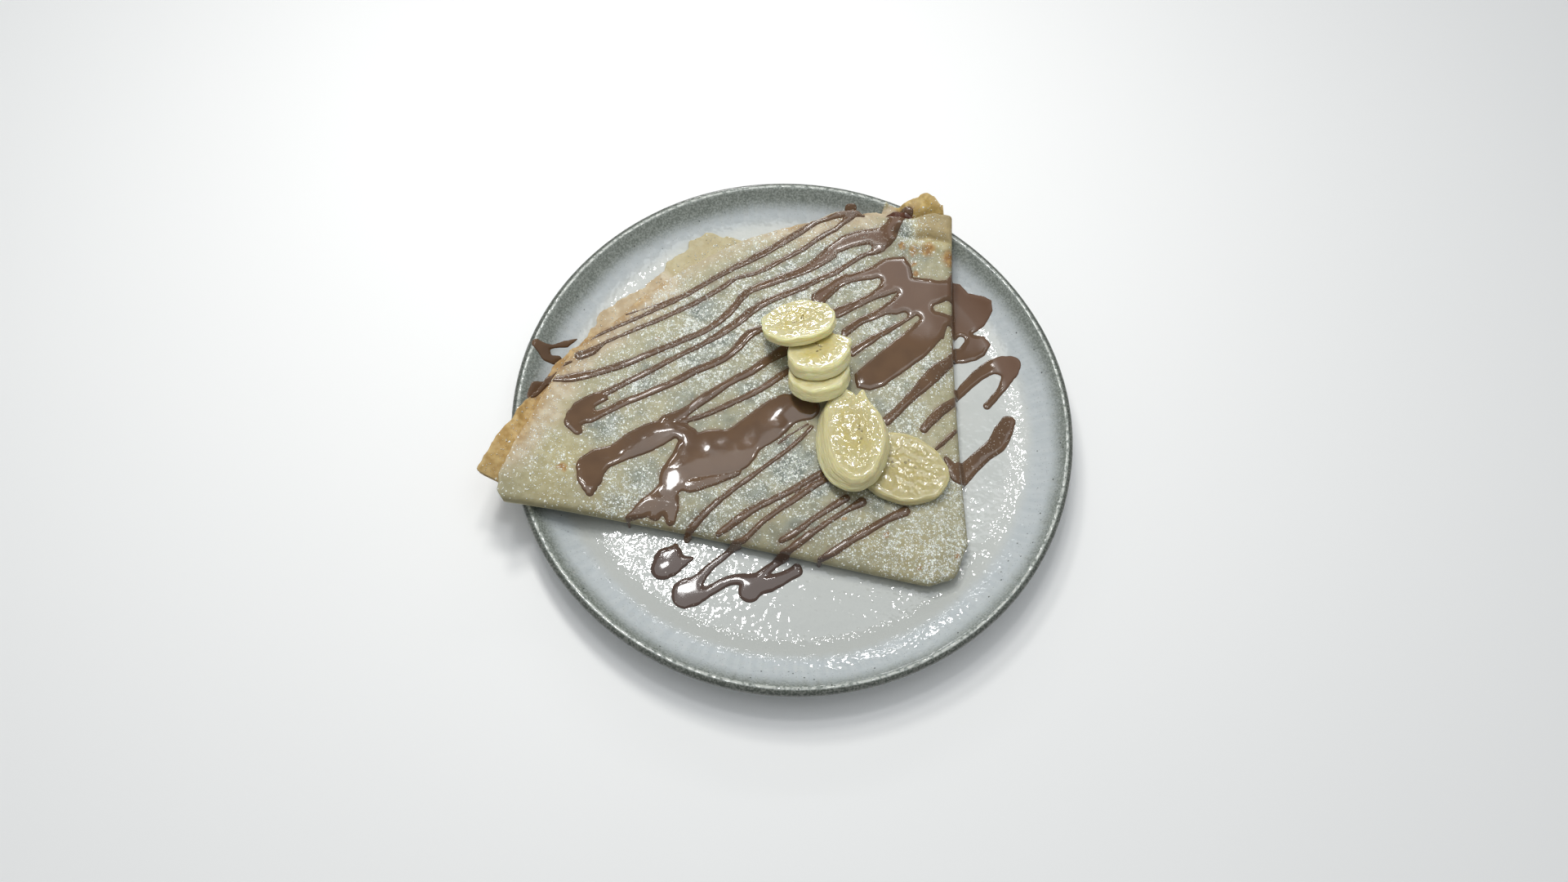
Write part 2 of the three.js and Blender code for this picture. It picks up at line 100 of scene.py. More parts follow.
# Sauce lines as plan places with the width there. The first number is how much sugar lies on them.
LINES = [
    (0.7, [(-102, 22, 1.5), (-91, 31.5, 2), (-76, 42, 2.5), (-60, 54, 3), (-45, 67, 3), (-30, 79, 4),
        (-20, 87, 4), (-12, 94, 4), (-4.1, 100.3, 3.5), (-0.8, 103.6, 4)]),
    (0.2, [(-0.8, 103.6, 3), (4.5, 105, 3), (8.4, 107.1, 4), (12.4, 108.7, 5), (16.4, 109.4, 5.5),
        (21.8, 108.7, 4.5)]),
    (0.6, [(-83, 42, 1), (-70, 49, 1), (-58, 57, 1)]),
    (0.1, [(-110, 6, 1.5), (-107, 10, 2), (-103, 13, 1.5)]),
    (0.7, [(-100, 17, 5), (-95, 20.5, 4.5), (-90, 26, 2), (-80, 33, 2.5), (-68, 41, 3), (-57, 49, 3),
        (-48, 56, 3), (-40, 63, 3), (-35, 68, 2.5), (-25, 73, 3), (-15, 81, 3), (-4.3, 89.4, 3),
        (0.6, 94.2, 3), (5.3, 97.7, 3), (9.1, 100.1, 3), (12.1, 103.3, 3), (16.3, 106.8, 3.5)]),
    (0.6, [(-110, 1.5, 2.5), (-100, 5.5, 5), (-92, 9.5, 4), (-80, 16, 4), (-66, 25, 3.5), (-55, 32, 3.5),
        (-45, 39, 3.5), (-36, 49, 4), (-29, 61, 4), (-20, 67, 4.5), (-10, 73, 5), (-1.8, 78.2, 5.5),
        (2.8, 82.3, 6.5), (6.5, 86, 7.5), (11, 90.6, 8), (15, 93.6, 8.5), (21, 96, 9), (27, 96.5, 10),
        (32, 96.5, 11)]),
    (0.2, [(34, 98, 10), (36.5, 103, 7.5), (38, 107.5, 8), (42.5, 109.5, 6)]),
    (0.5, [(31, 91, 6), (25, 88.5, 3), (18, 83, 3), (12, 78, 3.5), (4, 73, 3.5), (-3, 67.5, 4), (-18, 58, 4),
        (-25, 52, 4.5), (-31, 45, 4.5), (-38, 38, 4), (-46, 31, 3), (-58, 22, 3), (-68, 14, 3.5),
        (-78, 6.5, 3.5), (-86, 0, 4)]),
    (0.0, [(-88, -4.5, 10), (-93, -10.5, 11.5), (-96.5, -17, 8), (-94, -20.5, 5)]),
    (0.2, [(-90, -13, 6), (-83, -8, 4), (-75, -2, 4), (-66, 3.5, 4), (-56, 10, 4), (-48, 16.5, 4.5),
        (-40, 21.5, 4.5), (-33, 27, 4), (-29, 33, 5), (-25, 39, 5), (-19, 43, 4)]),
    (0.1, [(-56, -10, 8), (-49, -4, 5), (-41, 4, 5), (-35, 9.5, 4.5), (-29, 15, 4), (-22, 20, 4.5),
        (-16, 26, 4.5), (-8, 33, 6)]),
    (0.2, [(-50, -9, 3), (-43, -6, 3), (-35, -1, 3), (-26, 5, 3.5), (-17, 11.5, 3.5), (-9, 19, 4),
        (-5, 23, 3)]),
    (0.0, [(-83.5, -48.5, 4), (-84.5, -42, 11), (-85, -37, 13), (-82.5, -33, 12), (-76, -28.5, 10),
        (-68, -22, 13), (-60, -16.5, 13), (-52, -13.5, 10), (-46, -14.5, 8)]),
    (0.0, [(-46, -16, 8), (-44, -22, 10), (-47, -30, 14), (-49, -36, 14)]),
    (0.0, [(-45, -27, 19), (-35, -22.5, 23), (-26, -20, 21), (-20, -13, 17), (-12, -5, 18), (-4, 3, 16),
        (5, 5, 12)]),
    (0.2, [(-22, -30, 3), (-32, -34.5, 6), (-42, -39, 7)]),
    (0.1, [(-51, -42, 10), (-49, -50, 8), (-48, -55, 5)]),
    (0.2, [(-52, -44, 9), (-54, -50, 9), (-55, -53.5, 6)]),
    (0.1, [(-52, -44, 9), (-58, -50, 9), (-64, -55, 4.5), (-66, -56.5, 3)]),
    (0.3, [(8, -4, 2), (3, -11, 2.5), (-3, -18, 2.5), (-10, -25, 2.5), (-18, -33, 3), (-26, -41, 3),
        (-32, -48, 3.5), (-38, -56.5, 4), (-40.5, -60.5, 3)]),
    (0.5, [(6, -3, 1.2), (0, -8, 1.2), (-6, -14, 1.2)]),
    (0.3, [(15, -25, 3), (9, -29.5, 3.5), (1, -36, 3.5), (-7, -41.5, 3.5), (-14, -46.5, 4), (-21, -53, 4),
        (-27, -58.5, 3)]),
    (0.3, [(17, -28, 3), (11, -32.5, 3.5), (4, -39, 3.5), (-3, -45.5, 3), (-9, -51.5, 3), (-16, -60, 3),
        (-20, -62, 3), (-24, -66, 3.5), (-29, -71, 4), (-33, -77, 6), (-37, -84, 12)]),
    (0.3, [(26, -36, 4), (20, -41, 3.5), (12, -48, 3), (5, -55, 3.5), (0, -58.5, 3)]),
    (0.3, [(33, -37, 5), (27, -41.5, 3), (19, -48, 3), (12, -54.5, 3.5), (6, -60, 4), (2, -64, 3)]),
    (0.3, [(52, -39, 5), (44.5, -43.5, 4), (37, -49.5, 4), (29, -55.5, 4), (22, -61.5, 4),
        (17.5, -64.5, 3)]),
    (0.3, [(33, 80, 8), (24, 77.5, 7), (16, 74, 6), (10, 68.5, 6.5), (5, 62.5, 8)]),
    (0.2, [(38, 72, 8), (30, 66.5, 5), (22, 61, 5), (14, 55.5, 6)]),
    (0.2, [(46, 68, 8), (40, 63, 6), (33, 57.5, 5), (26, 53, 4.5), (19, 46, 4.5), (18, 43, 3)]),
    (0.2, [(52, 59, 5), (44, 55, 5), (38, 49, 5), (31, 42.5, 5), (24, 36, 6)]),
    (0.2, [(69, 38, 5), (64, 33, 7), (58, 25, 7), (52, 17, 5), (46, 9, 4.5), (41, 3, 5)]),
    (0.3, [(72, 18, 4), (67, 13, 5), (62, 7, 5), (58, 1, 4)]),
    (0.3, [(73, 3, 2), (69, -2, 2.5), (64, -8, 2)]),
    (0.3, [(69, -12, 3), (73, -17, 7), (75, -18, 10), (82, -10, 8), (88, -3, 8), (93, 2, 9), (96, 9, 9),
        (98, 14, 7)]),
    (0.1, [(-45, -63.5, 3), (-45.5, -67, 8), (-47, -71, 14), (-49, -74, 11)]),
    (0.1, [(-47, -71, 8), (-41, -70, 5.5), (-37.5, -68.3, 2.5)]),
    (0.0, [(-37, -84, 14), (-31, -83.5, 7), (-25, -79.5, 5), (-20, -76, 5), (-14, -75, 6), (-10, -77, 11),
        (-11, -80, 10)]),
    (0.0, [(-10, -77, 10), (-3, -75.5, 8), (3, -72, 6), (8, -68.5, 6)]),
    (0.0, [(-8, -74, 6), (-4, -69, 4.5), (0.5, -65, 4), (3, -63, 3.5)]),
    (0.0, [(73, 23, 4), (78, 30, 5.5), (84, 37, 6.5), (90, 42, 8), (97, 42, 11), (97, 36, 6), (93, 28, 4),
        (88, 21, 4)]),
    (0.0, [(-120, 20, 4.5), (-117.5, 19.5, 5.5), (-116, 21, 2.6), (-113.5, 22.3, 1.8), (-109, 25.8, 3.4),
        (-104.6, 30, 1)]),
    (0.0, [(-117.5, 19, 5.2), (-115.4, 16.2, 5), (-113, 16, 4.4), (-110.7, 18, 3)]),
    (0.0, [(-111, 4, 3), (-115.5, 0, 8), (-117, -5, 6)]),
    (0.1, [(14.5, 116.2, 4), (17, 116.4, 4)]),
]
# Outlines of the wide pools
POOLS = [
    [(29, 83.5), (32, 87), (43.5, 87.8), (47.5, 83.4), (49, 77.8), (60, 77.2), (68, 77.7), (69, 67.5),
     (61.6, 63.5), (69, 60.5), (67.5, 54), (64, 47), (57.5, 37), (48, 28), (39.5, 19.5), (33, 16),
     (26.5, 17), (24.5, 24), (36, 37.5), (50.7, 53.9), (48, 57), (38.1, 57.5), (36, 60), (41.7, 69),
     (33.5, 70.5), (31, 75)],
    [(68, 84), (73, 83), (77, 78.5), (83, 77), (88, 74), (89, 69), (86, 62), (81, 58), (86, 57.5),
     (89.5, 53), (87, 47), (83, 43.5), (76, 41), (68, 39), (62, 55), (62, 74)],
]
# Bare places that the sauce leaves, with their width
GAPS = [
    [(-87.5, -8.3, 1.2), (-83, -5, 3)],
    [(-51, -19, 2), (-54, -24, 5), (-57, -30, 6)],
    [(18, 78, 2), (26, 83, 4), (34, 88, 3)],
    [(14, 86, 4), (20, 89, 4), (26, 91, 3)],
    [(20, 64, 4), (26, 69, 4.5), (32, 74, 3)],
    [(22, 42, 4), (34, 50, 4.5), (46, 58, 2.5)],
    [(25, 31, 4), (38, 44, 3), (52, 57, 2)],
    [(61, 63, 3), (66, 64, 6.5)],
    [(67.5, 54, 2), (67.5, 48, 4), (67, 43, 5)],
    [(73, 51, 3.5), (75, 54, 3)],
]

# Sugar grains: how many places are tried, and how many grains lie at most
GRAIN_PLACES = 170000
GRAINS = 48000
# Places with more sugar: plan place, reach and how thick it lies
SUGAR = [
    (-70, 8, 24, 0.6), (-48, 28, 24, 1.1), (-25, 44, 24, 1.15), (-5, 62, 22, 1.1), (12, 82, 16, 0.95),
    (28, 70, 9, 0.9), (33, 50, 9, 1), (40, 44, 9, 1), (58, 33, 12, 1), (50, 12, 14, 0.85), (66, -52, 24, 1),
    (70, -25, 14, 0.9), (-66, -46, 20, 0.8), (-30, -48, 20, 0.6), (0, -28, 20, 0.65), (-12, 10, 16, 0.75),
    (-75, -14, 14, 0.5), (-100, -35, 18, 0.3), (48, 88, 10, 0.2), (-25, 88, 18, 0.5), (-55, 50, 16, 0.9),
    (30, -48, 16, 0.6), (44, 98, 8, 0.8),
]
# Places where the fold is thin and the spread below greys it: plan place, reach and strength. The last four,
# along the near side, are also painted shade.
GREY = [
    (-48, 50, 12, 0.85), (-66, 9, 15, 0.6), (-84, -14, 11, 0.85), (-60, -40, 14, 0.7), (-32, -46, 12, 0.6),
    (0, -22, 16, 0.9), (13, -30, 10, 0.9), (8, -54, 10, 0.85), (-13, -40, 12, 0.7), (-20, 9, 13, 0.7),
    (-46, 22, 15, 0.7), (-20, 50, 15, 0.7), (-4, 72, 13, 0.65), (12, 84, 10, 0.75), (42, 100, 6, 0.7),
    (22, 72, 9, 0.6), (38, 14, 10, 0.6), (-38, 37, 15, 0.7), (-62, 25, 11, 0.45), (56, -9, 8, 0.5),
    (60, 30, 9, 0.6), (29, -50, 10, 0.6), (-22, -12, 12, 0.6), (-72, -4, 10, 0.5), (50, -48, 9, 0.3),
    # These four places along the near side are partly painted shade.
    (-34, -57, 10, 1.0), (-15, -60, 10, 0.9), (4, -62, 9, 0.7), (-72, -52, 10, 0.6),
]
# Yellower places: plan place, reach and strength
YELLOW = [(-97, -36, 13, 0.9), (-100, -50, 11, 0.8), (-80, -50, 8, 0.5), (56, -60, 15, 0.7),
          (38, -55, 9, 0.6), (-102, -14, 10, 0.5), (-70, -55, 12, 0.5)]
# Browned spots: plan place and reach
BROWN = [(54.6, 91, 4.4), (47.8, 90, 3.4), (65, 88, 5.2), (42, 92, 2.2), (48, 84, 1.6), (45, -51, 1.6),
         (76, -57, 1.8), (60, -64, 1.6), (26, -46, 1.4), (-67, 31, 1.4), (-96, -40, 2.6), (50, 79, 1.8)]

# Banana slices: number, centre, tilt and the heading it rises to, half length and half width of the face,
# heading of the length, thickness, offset of the underside, how much longer and wider it is there, how much
# darker its flesh is drawn (partly painted shade), and the uneven places of the rim as angle, size and
# spread.
SLICES = [
    {"number": 1, "at": (-2.7, 39.7, 29.7), "tilt": 27, "rise": 300, "a": 16.8, "b": 14.8,
     "turn": 10, "thick": 5.4, "shear": (0, 0.9), "flare": (0, 0), "darker_flesh": 0,
     "nubs": [(158, 1.0, 9), (38, 0.8, 8), (75, 0.5, 12), (250, 0.7, 12)]},
    {"number": 2, "at": (7.7, 24.2, 30.2), "tilt": 22, "rise": 300, "a": 14.2, "b": 12.8,
     "turn": 20, "thick": 7.2, "shear": (0, -1.1), "flare": (0, 0), "darker_flesh": 0,
     "nubs": [(8, 1.3, 10), (38, -0.7, 9), (60, 0.7, 9), (350, -0.6, 6)]},
    {"number": 3, "at": (9.0, 16.0, 25.0), "tilt": 22, "rise": 300, "a": 13.9, "b": 12.3,
     "turn": 20, "thick": 7.2, "shear": (0, -1.3), "flare": (0, 0), "darker_flesh": 0,
     "nubs": [(215, -0.7, 14), (250, 0.5, 12), (300, 0.6, 10)]},
    {"number": 4, "at": (26.6, -11.9, 24.6), "tilt": 13, "rise": 345, "a": 22.4, "b": 12.3,
     "turn": 101, "thick": 8, "shear": (-2.4, -1.7), "flare": (1.5, 4.5), "darker_flesh": 0.5,
     "nubs": [(333, 1.3, 7), (345, -1.3, 7), (8, 1.2, 5), (314, -0.5, 9), (40, 1.2, 18)]},
    {"number": 5, "at": (49.4, -20.7, 19.1), "tilt": 0, "rise": 0, "a": 20, "b": 15.9,
     "turn": 168, "thick": 4.8, "shear": (0, 0.6), "flare": (0.8, 0.8), "darker_flesh": 1,
     "nubs": [(200, 0.6, 12), (250, -0.5, 14), (150, 0.4, 10)]},
]


# Helpers for shapes

def smooth(low, high, x):
    """Soft step from 0 at low to 1 at high."""
    t = np.clip((x - low) / (high - low), 0, 1)
    return t * t * (3 - 2 * t)


def sample(table, x):
    """Smooth value between the rows of a short table."""
    xs, ys = np.array(table, float).T
    k = np.clip(np.searchsorted(xs, x) - 1, 0, len(xs) - 2)
    t = smooth(0, 1, (x - xs[k]) / (xs[k + 1] - xs[k]))
    return ys[k] + (ys[k + 1] - ys[k]) * t


def noise(x, y, size, seed):
    """Smooth noise between -1 and 1 whose features have a size in millimetres."""
    table = np.random.default_rng(seed).uniform(-1, 1, (128, 128))
    u = np.asarray(x, float) / size + 31.7
    v = np.asarray(y, float) / size + 17.3
    i, j = np.floor(u).astype(int), np.floor(v).astype(int)
    s, t = smooth(0, 1, u - i), smooth(0, 1, v - j)
    i0, i1, j0, j1 = i % 128, (i + 1) % 128, j % 128, (j + 1) % 128
    low = table[i0, j0] * (1 - s) + table[i1, j0] * s
    high = table[i0, j1] * (1 - s) + table[i1, j1] * s
    return low * (1 - t) + high * t


def round_share(distance, reach):
    """Share of the full height at a distance inside a rounded edge."""
    return np.sqrt(1 - (1 - np.clip(distance / reach, 0, 1)) ** 2)


def grid_faces(rows, columns, closed=False):
    """Quads of a grid of points, whose rows may close on themselves."""
    i, j = np.meshgrid(np.arange(rows - 1), np.arange(columns if closed else columns - 1), indexing="ij")
    k = (j + 1) % columns
    quads = np.stack([i * columns + j, i * columns + k, (i + 1) * columns + k, (i + 1) * columns + j], -1)
    return quads.reshape(-1, 4)


def add_mesh(name, points, faces, material, values=()):
    """A mesh piece from points in millimetres, with named values at its points."""
    coords = np.asarray(points, float).reshape(-1, 3) * MM + AXIS
    faces = np.asarray(faces, int)
    mesh = bpy.data.meshes.new(name)
    mesh.vertices.add(len(coords))
    mesh.vertices.foreach_set("co", coords.ravel())
    mesh.loops.add(faces.size)
    mesh.loops.foreach_set("vertex_index", faces.ravel())
    mesh.polygons.add(len(faces))
    mesh.polygons.foreach_set("loop_start", np.arange(len(faces)) * faces.shape[1])
    mesh.polygons.foreach_set("loop_total", np.full(len(faces), faces.shape[1]))
    mesh.polygons.foreach_set("use_smooth", np.ones(len(faces), bool))
    mesh.update(calc_edges=True)
    for label, numbers in dict(values).items():
        layer = mesh.attributes.new(label, "FLOAT", "POINT")
        layer.data.foreach_set("value", np.asarray(numbers, float).ravel())
    mesh.validate()
    mesh.materials.append(material)
    piece = bpy.data.objects.new(name, mesh)
    bpy.context.scene.collection.objects.link(piece)
    return piece


# Heights of the plate and the crepe

def plate_top(radius):
    t = np.clip((radius - WALL_START_RADIUS) / (LIP_CREST_RADIUS - WALL_START_RADIUS), 0, 1)
    return BASE_TOP + (LIP_TOP - BASE_TOP) * t ** WALL_POWER


def tip_lift(x, y, direction):
    """How far a corner tip of the crepe rises as it runs over the plate's wall."""
    t = np.clip((x * direction[0] + y * direction[1] - RAMP_START) / RAMP_LENGTH, 0, 1.6)
    return RAMP_HEIGHT * t * t


def crepe_under(x, y):
    """Underside of the crepe, a small gap over the plate."""
    lift = np.maximum(tip_lift(x, y, LEFT_TIP), tip_lift(x, y, FAR_TIP))
    radius = np.hypot(x, y)
    plate = np.where(radius < PLATE_RADIUS + 1, plate_top(radius + LIP_GAP), 0)
    return np.maximum(BASE_TOP + lift, plate) + PLATE_GAP


def right_fold(distance):
    """Angle of the right fold at a distance from the apex."""
    return RIGHT_CORNER_ANGLE + 3.2 * np.maximum(0, 1 - distance / 170) ** 1.6


def near_fold(distance):
    outer = 2.3 * (np.maximum(0, distance - 120) / 78) ** 2
    return NEAR_CORNER_ANGLE - 2.3 + outer + 1.6 * np.exp(-distance / 30)


def blunt(across):
    """Distance from the apex at which the cut-off corner starts."""
    share = np.clip(across, 0, 1)
    return APEX_CUT + APEX_CUT_SPREAD * np.abs(2 * share - 1) ** 2.2 - 3 * share


def corner_angle(across):
    return RIGHT_CORNER_ANGLE + (NEAR_CORNER_ANGLE - RIGHT_CORNER_ANGLE) * across


def arc_radius(across):
    """Reach of the top sheet, with its ragged edge."""
    run = corner_angle(across) * 3.5
    rag = 0.45 * noise(run, 0, 3.5, 11) + 0.25 * noise(run, 0, 1.3, 12)
    return sample(ARC, corner_angle(across)) + rag * smooth(0, 0.03, np.minimum(across, 1 - across))


def ledge_reach(across):
    """How far the lower sheets stand out past the top one."""
    run = corner_angle(across) * 3.5
    reach = sample(LEDGE, corner_angle(across))
    rag = 0.5 * noise(run, 0, 6, 13) + 0.5 * noise(run, 0, 2.2, 14) + 0.3 * noise(run, 0, 0.9, 15)
    return reach + rag * smooth(1, 5, reach) * smooth(163, 159, corner_angle(across))


def plan_point(along, across, ledge=0.0):
    """Plan place at a share of the way from apex to arc and from fold to fold."""
    start = blunt(across)
    arc = arc_radius(across) + ledge * ledge_reach(across)
    distance = start + (arc - start) * along
    right = right_fold(distance)
    angle = np.radians(right + (near_fold(distance) - right) * across)
    return APEX[0] + distance * np.cos(angle), APEX[1] + distance * np.sin(angle)


def inside(x, y):
    """How far a plan place is inside the folds and inside the arc."""
    dx, dy = x - APEX[0], y - APEX[1]
    distance = np.hypot(dx, dy)
    angle = np.degrees(np.arctan2(dy, dx)) % 360
    right = right_fold(distance)
    spread = near_fold(distance) - right
    across = (angle - right) / spread
    side = np.minimum(across, 1 - across) * np.radians(spread) * distance
    share = np.clip(across, 0, 1)
    fold = np.minimum(side, distance - blunt(share))
    return fold, arc_radius(share) - distance, ledge_reach(share)


def line_distance(x, y, line):
    """Distance to a bent line or, where its places have widths, to the edge of its band."""
    best = np.full(np.shape(x), 1e9)
    for start, end in zip(line[:-1], line[1:]):
        ax, ay = start[:2]
        run_x, run_y = end[0] - ax, end[1] - ay
        t = np.clip(((x - ax) * run_x + (y - ay) * run_y) / (run_x ** 2 + run_y ** 2), 0, 1)
        gap = np.hypot(x - ax - t * run_x, y - ay - t * run_y)
        if len(start) > 2:
            gap -= (start[2] + (end[2] - start[2]) * t) / 2
        best = np.minimum(best, gap)
    return best


def crepe_top(x, y):
    fold = inside(x, y)[0]
    waves = 0.5 * noise(x, y, 36, 1) + 0.22 * noise(x, y, 15, 2) + 0.06 * noise(x, y, 6, 3)
    crease = line_distance(x, y, CREASE)
    fold_mark = -1.5 * np.exp(-(crease / 1.0) ** 2) + 1.0 * np.exp(-((crease - 4) / 2.2) ** 2)
    height = crepe_under(x, y) + THICKNESS / 2 + fold_rise(THICKNESS, fold)
    return height + waves * smooth(0, 7, fold) + fold_mark * smooth(0, 2, fold)


def fold_rise(level, fold):
    """Height over the middle of the sheets where they close into a soft fold."""
    over = level - THICKNESS / 2
    soft = np.where(over > 0, 1 - FOLD_SOFTNESS * (1 - smooth(0, 12, fold)), 1)
    return over * soft * round_share(fold, FOLD_ROUNDING)


def far_tongue(x, y, arc):
    """Share of the golden inner sheet at the far tip, which curls up past the top sheet's edge."""
    angle = np.degrees(np.arctan2(y - APEX[1], x - APEX[0])) % 360
    return smooth(103.9, 103.1, angle) * smooth(-0.5, -5, arc)


def ledge_top(x, y, arc):
    curl = 3.2 * far_tongue(x, y, arc)
    peak = 3.6 * np.exp(-(np.hypot(x - FAR_PEAK[0], y - FAR_PEAK[1]) / 2.0) ** 2)
    return crepe_under(x, y) + LEDGE_LEVEL + 0.25 * noise(x, y, 7, 4) + curl + peak


def sauce_ground(x, y):
    """What the sauce lies on, with soft slopes where it runs over an edge."""
    fold, arc, ledge = inside(x, y)
    plate = plate_top(np.hypot(x, y))
    height = plate + (ledge_top(x, y, arc) - plate) * smooth(-1.2, 0.3, arc + ledge)
    height = height + (crepe_top(x, y) - height) * smooth(-1.6, 0.2, arc)
    return plate + (height - plate) * smooth(-2.6, 0.5, fold)


def hard_ground(x, y):
    fold, arc, ledge = inside(x, y)
    plate = plate_top(np.hypot(x, y))
    height = np.where(arc > 0, crepe_top(x, y), np.where(arc + ledge > 0, ledge_top(x, y, arc), plate))
    return np.where(fold > 0, height, plate)


def patches(x, y, places):
    """Strongest of a list of soft round patches."""
    amount = np.zeros(np.shape(x))
    for cx, cy, reach, strength in places:
        amount = np.maximum(amount, strength * np.exp(-((x - cx) ** 2 + (y - cy) ** 2) / reach ** 2))
    return amount


# Sauce: one field of depth inside its outline, and the film that it makes

CELL = 0.5
FIELD_X = np.arange(-126, 106, CELL)
FIELD_Y = np.arange(-95, 122, CELL)
GRID_X, GRID_Y = np.meshgrid(FIELD_X, FIELD_Y, indexing="ij")
EDGE_REACH = 2.3
DOME_REACH = 9.0
BLEND = 0.5
SPREAD_OUT = -0.15
LINE_SHIFT = (0.35, -0.45)
LINE_MARGIN = 12
SAUCE_SINK = 0.06
SLICE_CLEARANCE = 0.15
SKIRT_DEPTH = 0.4


def curve_through(points, step=3.0):
    """Smooth line through places with widths."""
    p = np.array([points[0], *points, points[-1]], float)
    out = []
    for k in range(1, len(p) - 2):
        count = max(1, int(np.hypot(*(p[k + 1] - p[k])[:2]) / step))
        for t in np.arange(count) / count:
            out.append(0.5 * (2 * p[k] + (p[k + 1] - p[k - 1]) * t
                              + (2 * p[k - 1] - 5 * p[k] + 4 * p[k + 1] - p[k + 2]) * t ** 2
                              + (3 * p[k] - p[k - 1] - 3 * p[k + 1] + p[k + 2]) * t ** 3))
    out.append(p[-2])
    return np.array(out)


def polygon_depth(x, y, corners):
    """Distance inside an outline, below zero outside it."""
    edge = -line_distance(x, y, [*corners, corners[0]])
    odd = np.zeros(np.shape(x), bool)
    for (ax, ay), (bx, by) in zip(corners, [*corners[1:], corners[0]]):
        crosses = (ay > y) != (by > y)
        with np.errstate(divide="ignore", invalid="ignore"):
            at = ax + (y - ay) * (bx - ax) / (by - ay)
        odd ^= crosses & (x < at)
    return np.where(odd, -edge, edge)


def sauce_field():
    """Depth inside the sauce's outline, and the sugar that lies on it."""
    total = np.full(GRID_X.shape, 1e-12)
    dust = np.zeros(GRID_X.shape)
    for sugar, line in LINES:
        path = curve_through(line)
        path[:, :2] += LINE_SHIFT
        low, high = path[:, :2].min(0) - LINE_MARGIN, path[:, :2].max(0) + LINE_MARGIN
        columns = slice(*np.searchsorted(FIELD_X, (low[0], high[0])))
        rows = slice(*np.searchsorted(FIELD_Y, (low[1], high[1])))
        depth = -line_distance(GRID_X[columns, rows], GRID_Y[columns, rows], path)
        near = np.exp(np.minimum(depth, 9) / BLEND)
        total[columns, rows] += near
        dust[columns, rows] += sugar * near
    for corners in POOLS:
        depth = polygon_depth(GRID_X, GRID_Y, corners) - 0.2
        near = np.exp(np.clip(depth, -9, 9) / BLEND)
        total += near
    depth = BLEND * np.log(total)
    for line in GAPS:
        depth = np.minimum(depth, line_distance(GRID_X, GRID_Y, curve_through(line)))
    depth += SPREAD_OUT + 0.18 * noise(GRID_X, GRID_Y, 3.5, 21) + 0.06 * noise(GRID_X, GRID_Y, 1.5, 22)
    return depth, dust / total


def soften(field, passes):
    """Field averaged with its neighbours, which rounds its creases."""
    for _ in range(passes):
        for axis in (0, 1):
            field = 0.5 * field + 0.25 * (np.roll(field, 1, axis) + np.roll(field, -1, axis))
    return field


def film_height(depth):
    """Height of the sauce over its ground: a rolled edge, a slight dome and ripples, flatter far away."""
    calm = smooth(10, 40, GRID_Y)
    full = 1.0 + 0.2 * (1 - 0.8 * calm) * noise(GRID_X, GRID_Y, 14, 23)
    full += 0.05 * noise(GRID_X, GRID_Y, 6, 24) + 0.03 * calm * noise(GRID_X, GRID_Y, 3.6, 25)
    dome = soften(round_share(depth, DOME_REACH), 24)
    return full * round_share(depth, EDGE_REACH) * (0.68 + 0.42 * dome * (1 - 0.7 * calm))


def rim_edges(faces):
    """Edges that only one of the quads has."""
    edges = np.concatenate([faces[:, [k, (k + 1) % 4]] for k in range(4)])
    _, first, count = np.unique(np.sort(edges, 1), axis=0, return_index=True, return_counts=True)
    return edges[first[count == 1]]


def make_sauce(material):
    """Film of sauce with a skirt down to its ground, and the fields of its depth, height and sugar."""
    depth, dust = sauce_field()
    height = film_height(np.maximum(depth, 0))
    slope_x, slope_y = np.gradient(depth, CELL)
    steep = np.maximum(slope_x ** 2 + slope_y ** 2, 0.2)
    shift = np.where(depth < 0, -depth / steep, 0)
    x, y = GRID_X + slope_x * shift, GRID_Y + slope_y * shift
    z = np.minimum(sauce_ground(x, y) + height - SAUCE_SINK, under_slices(x, y) - SLICE_CLEARANCE)
    quads = grid_faces(*GRID_X.shape)
    corner_depth = depth.ravel()[quads]
    keep = (corner_depth > -1.1 * CELL).all(1) & (corner_depth > 0).any(1)
    used, faces = np.unique(quads[keep], return_inverse=True)
    faces = faces.reshape(-1, 4)
    points = np.stack([x.ravel()[used], y.ravel()[used], z.ravel()[used]], 1)
    rim = rim_edges(faces)
    ring, local = np.unique(rim, return_inverse=True)
    local = local.reshape(-1, 2) + len(points)
    foot = points[ring]
    foot[:, 2] = np.minimum(hard_ground(foot[:, 0], foot[:, 1]) - SKIRT_DEPTH, foot[:, 2])
    skirt = np.concatenate([rim[:, ::-1], local], 1)
    points = np.concatenate([points, foot])
    faces = np.concatenate([faces, skirt])
    x, y = points[:, 0], points[:, 1]
    inner = np.concatenate([depth.ravel()[used], np.zeros(len(ring))])
    sugar = np.concatenate([dust.ravel()[used], dust.ravel()[used][ring]])
    on_wall = smooth(64, 70, x) * smooth(98, 104, np.hypot(x, y))
    dull = np.maximum(on_wall, 0.75 * smooth(35, 60, y) * smooth(1.2, 3.2, inner))
    # low marks the sauce on the near plate, drawn darker and purpler as painted shade and painted sheen.
    values = {"depth": inner, "dust": sugar, "dull": dull, "low": smooth(-61, -66, y)}
    return add_mesh("sauce", points, faces, material, values), depth, height, dust


def sugar_amount(x, y):
    """How thick the sugar lies at plan places, between 0 and 1."""
    patchy = 0.85 + 0.35 * noise(x, y, 9, 31) + 0.3 * noise(x, y, 3.5, 32)
    return np.clip(np.maximum(patches(x, y, SUGAR), 0.1) * patchy, 0, 1)


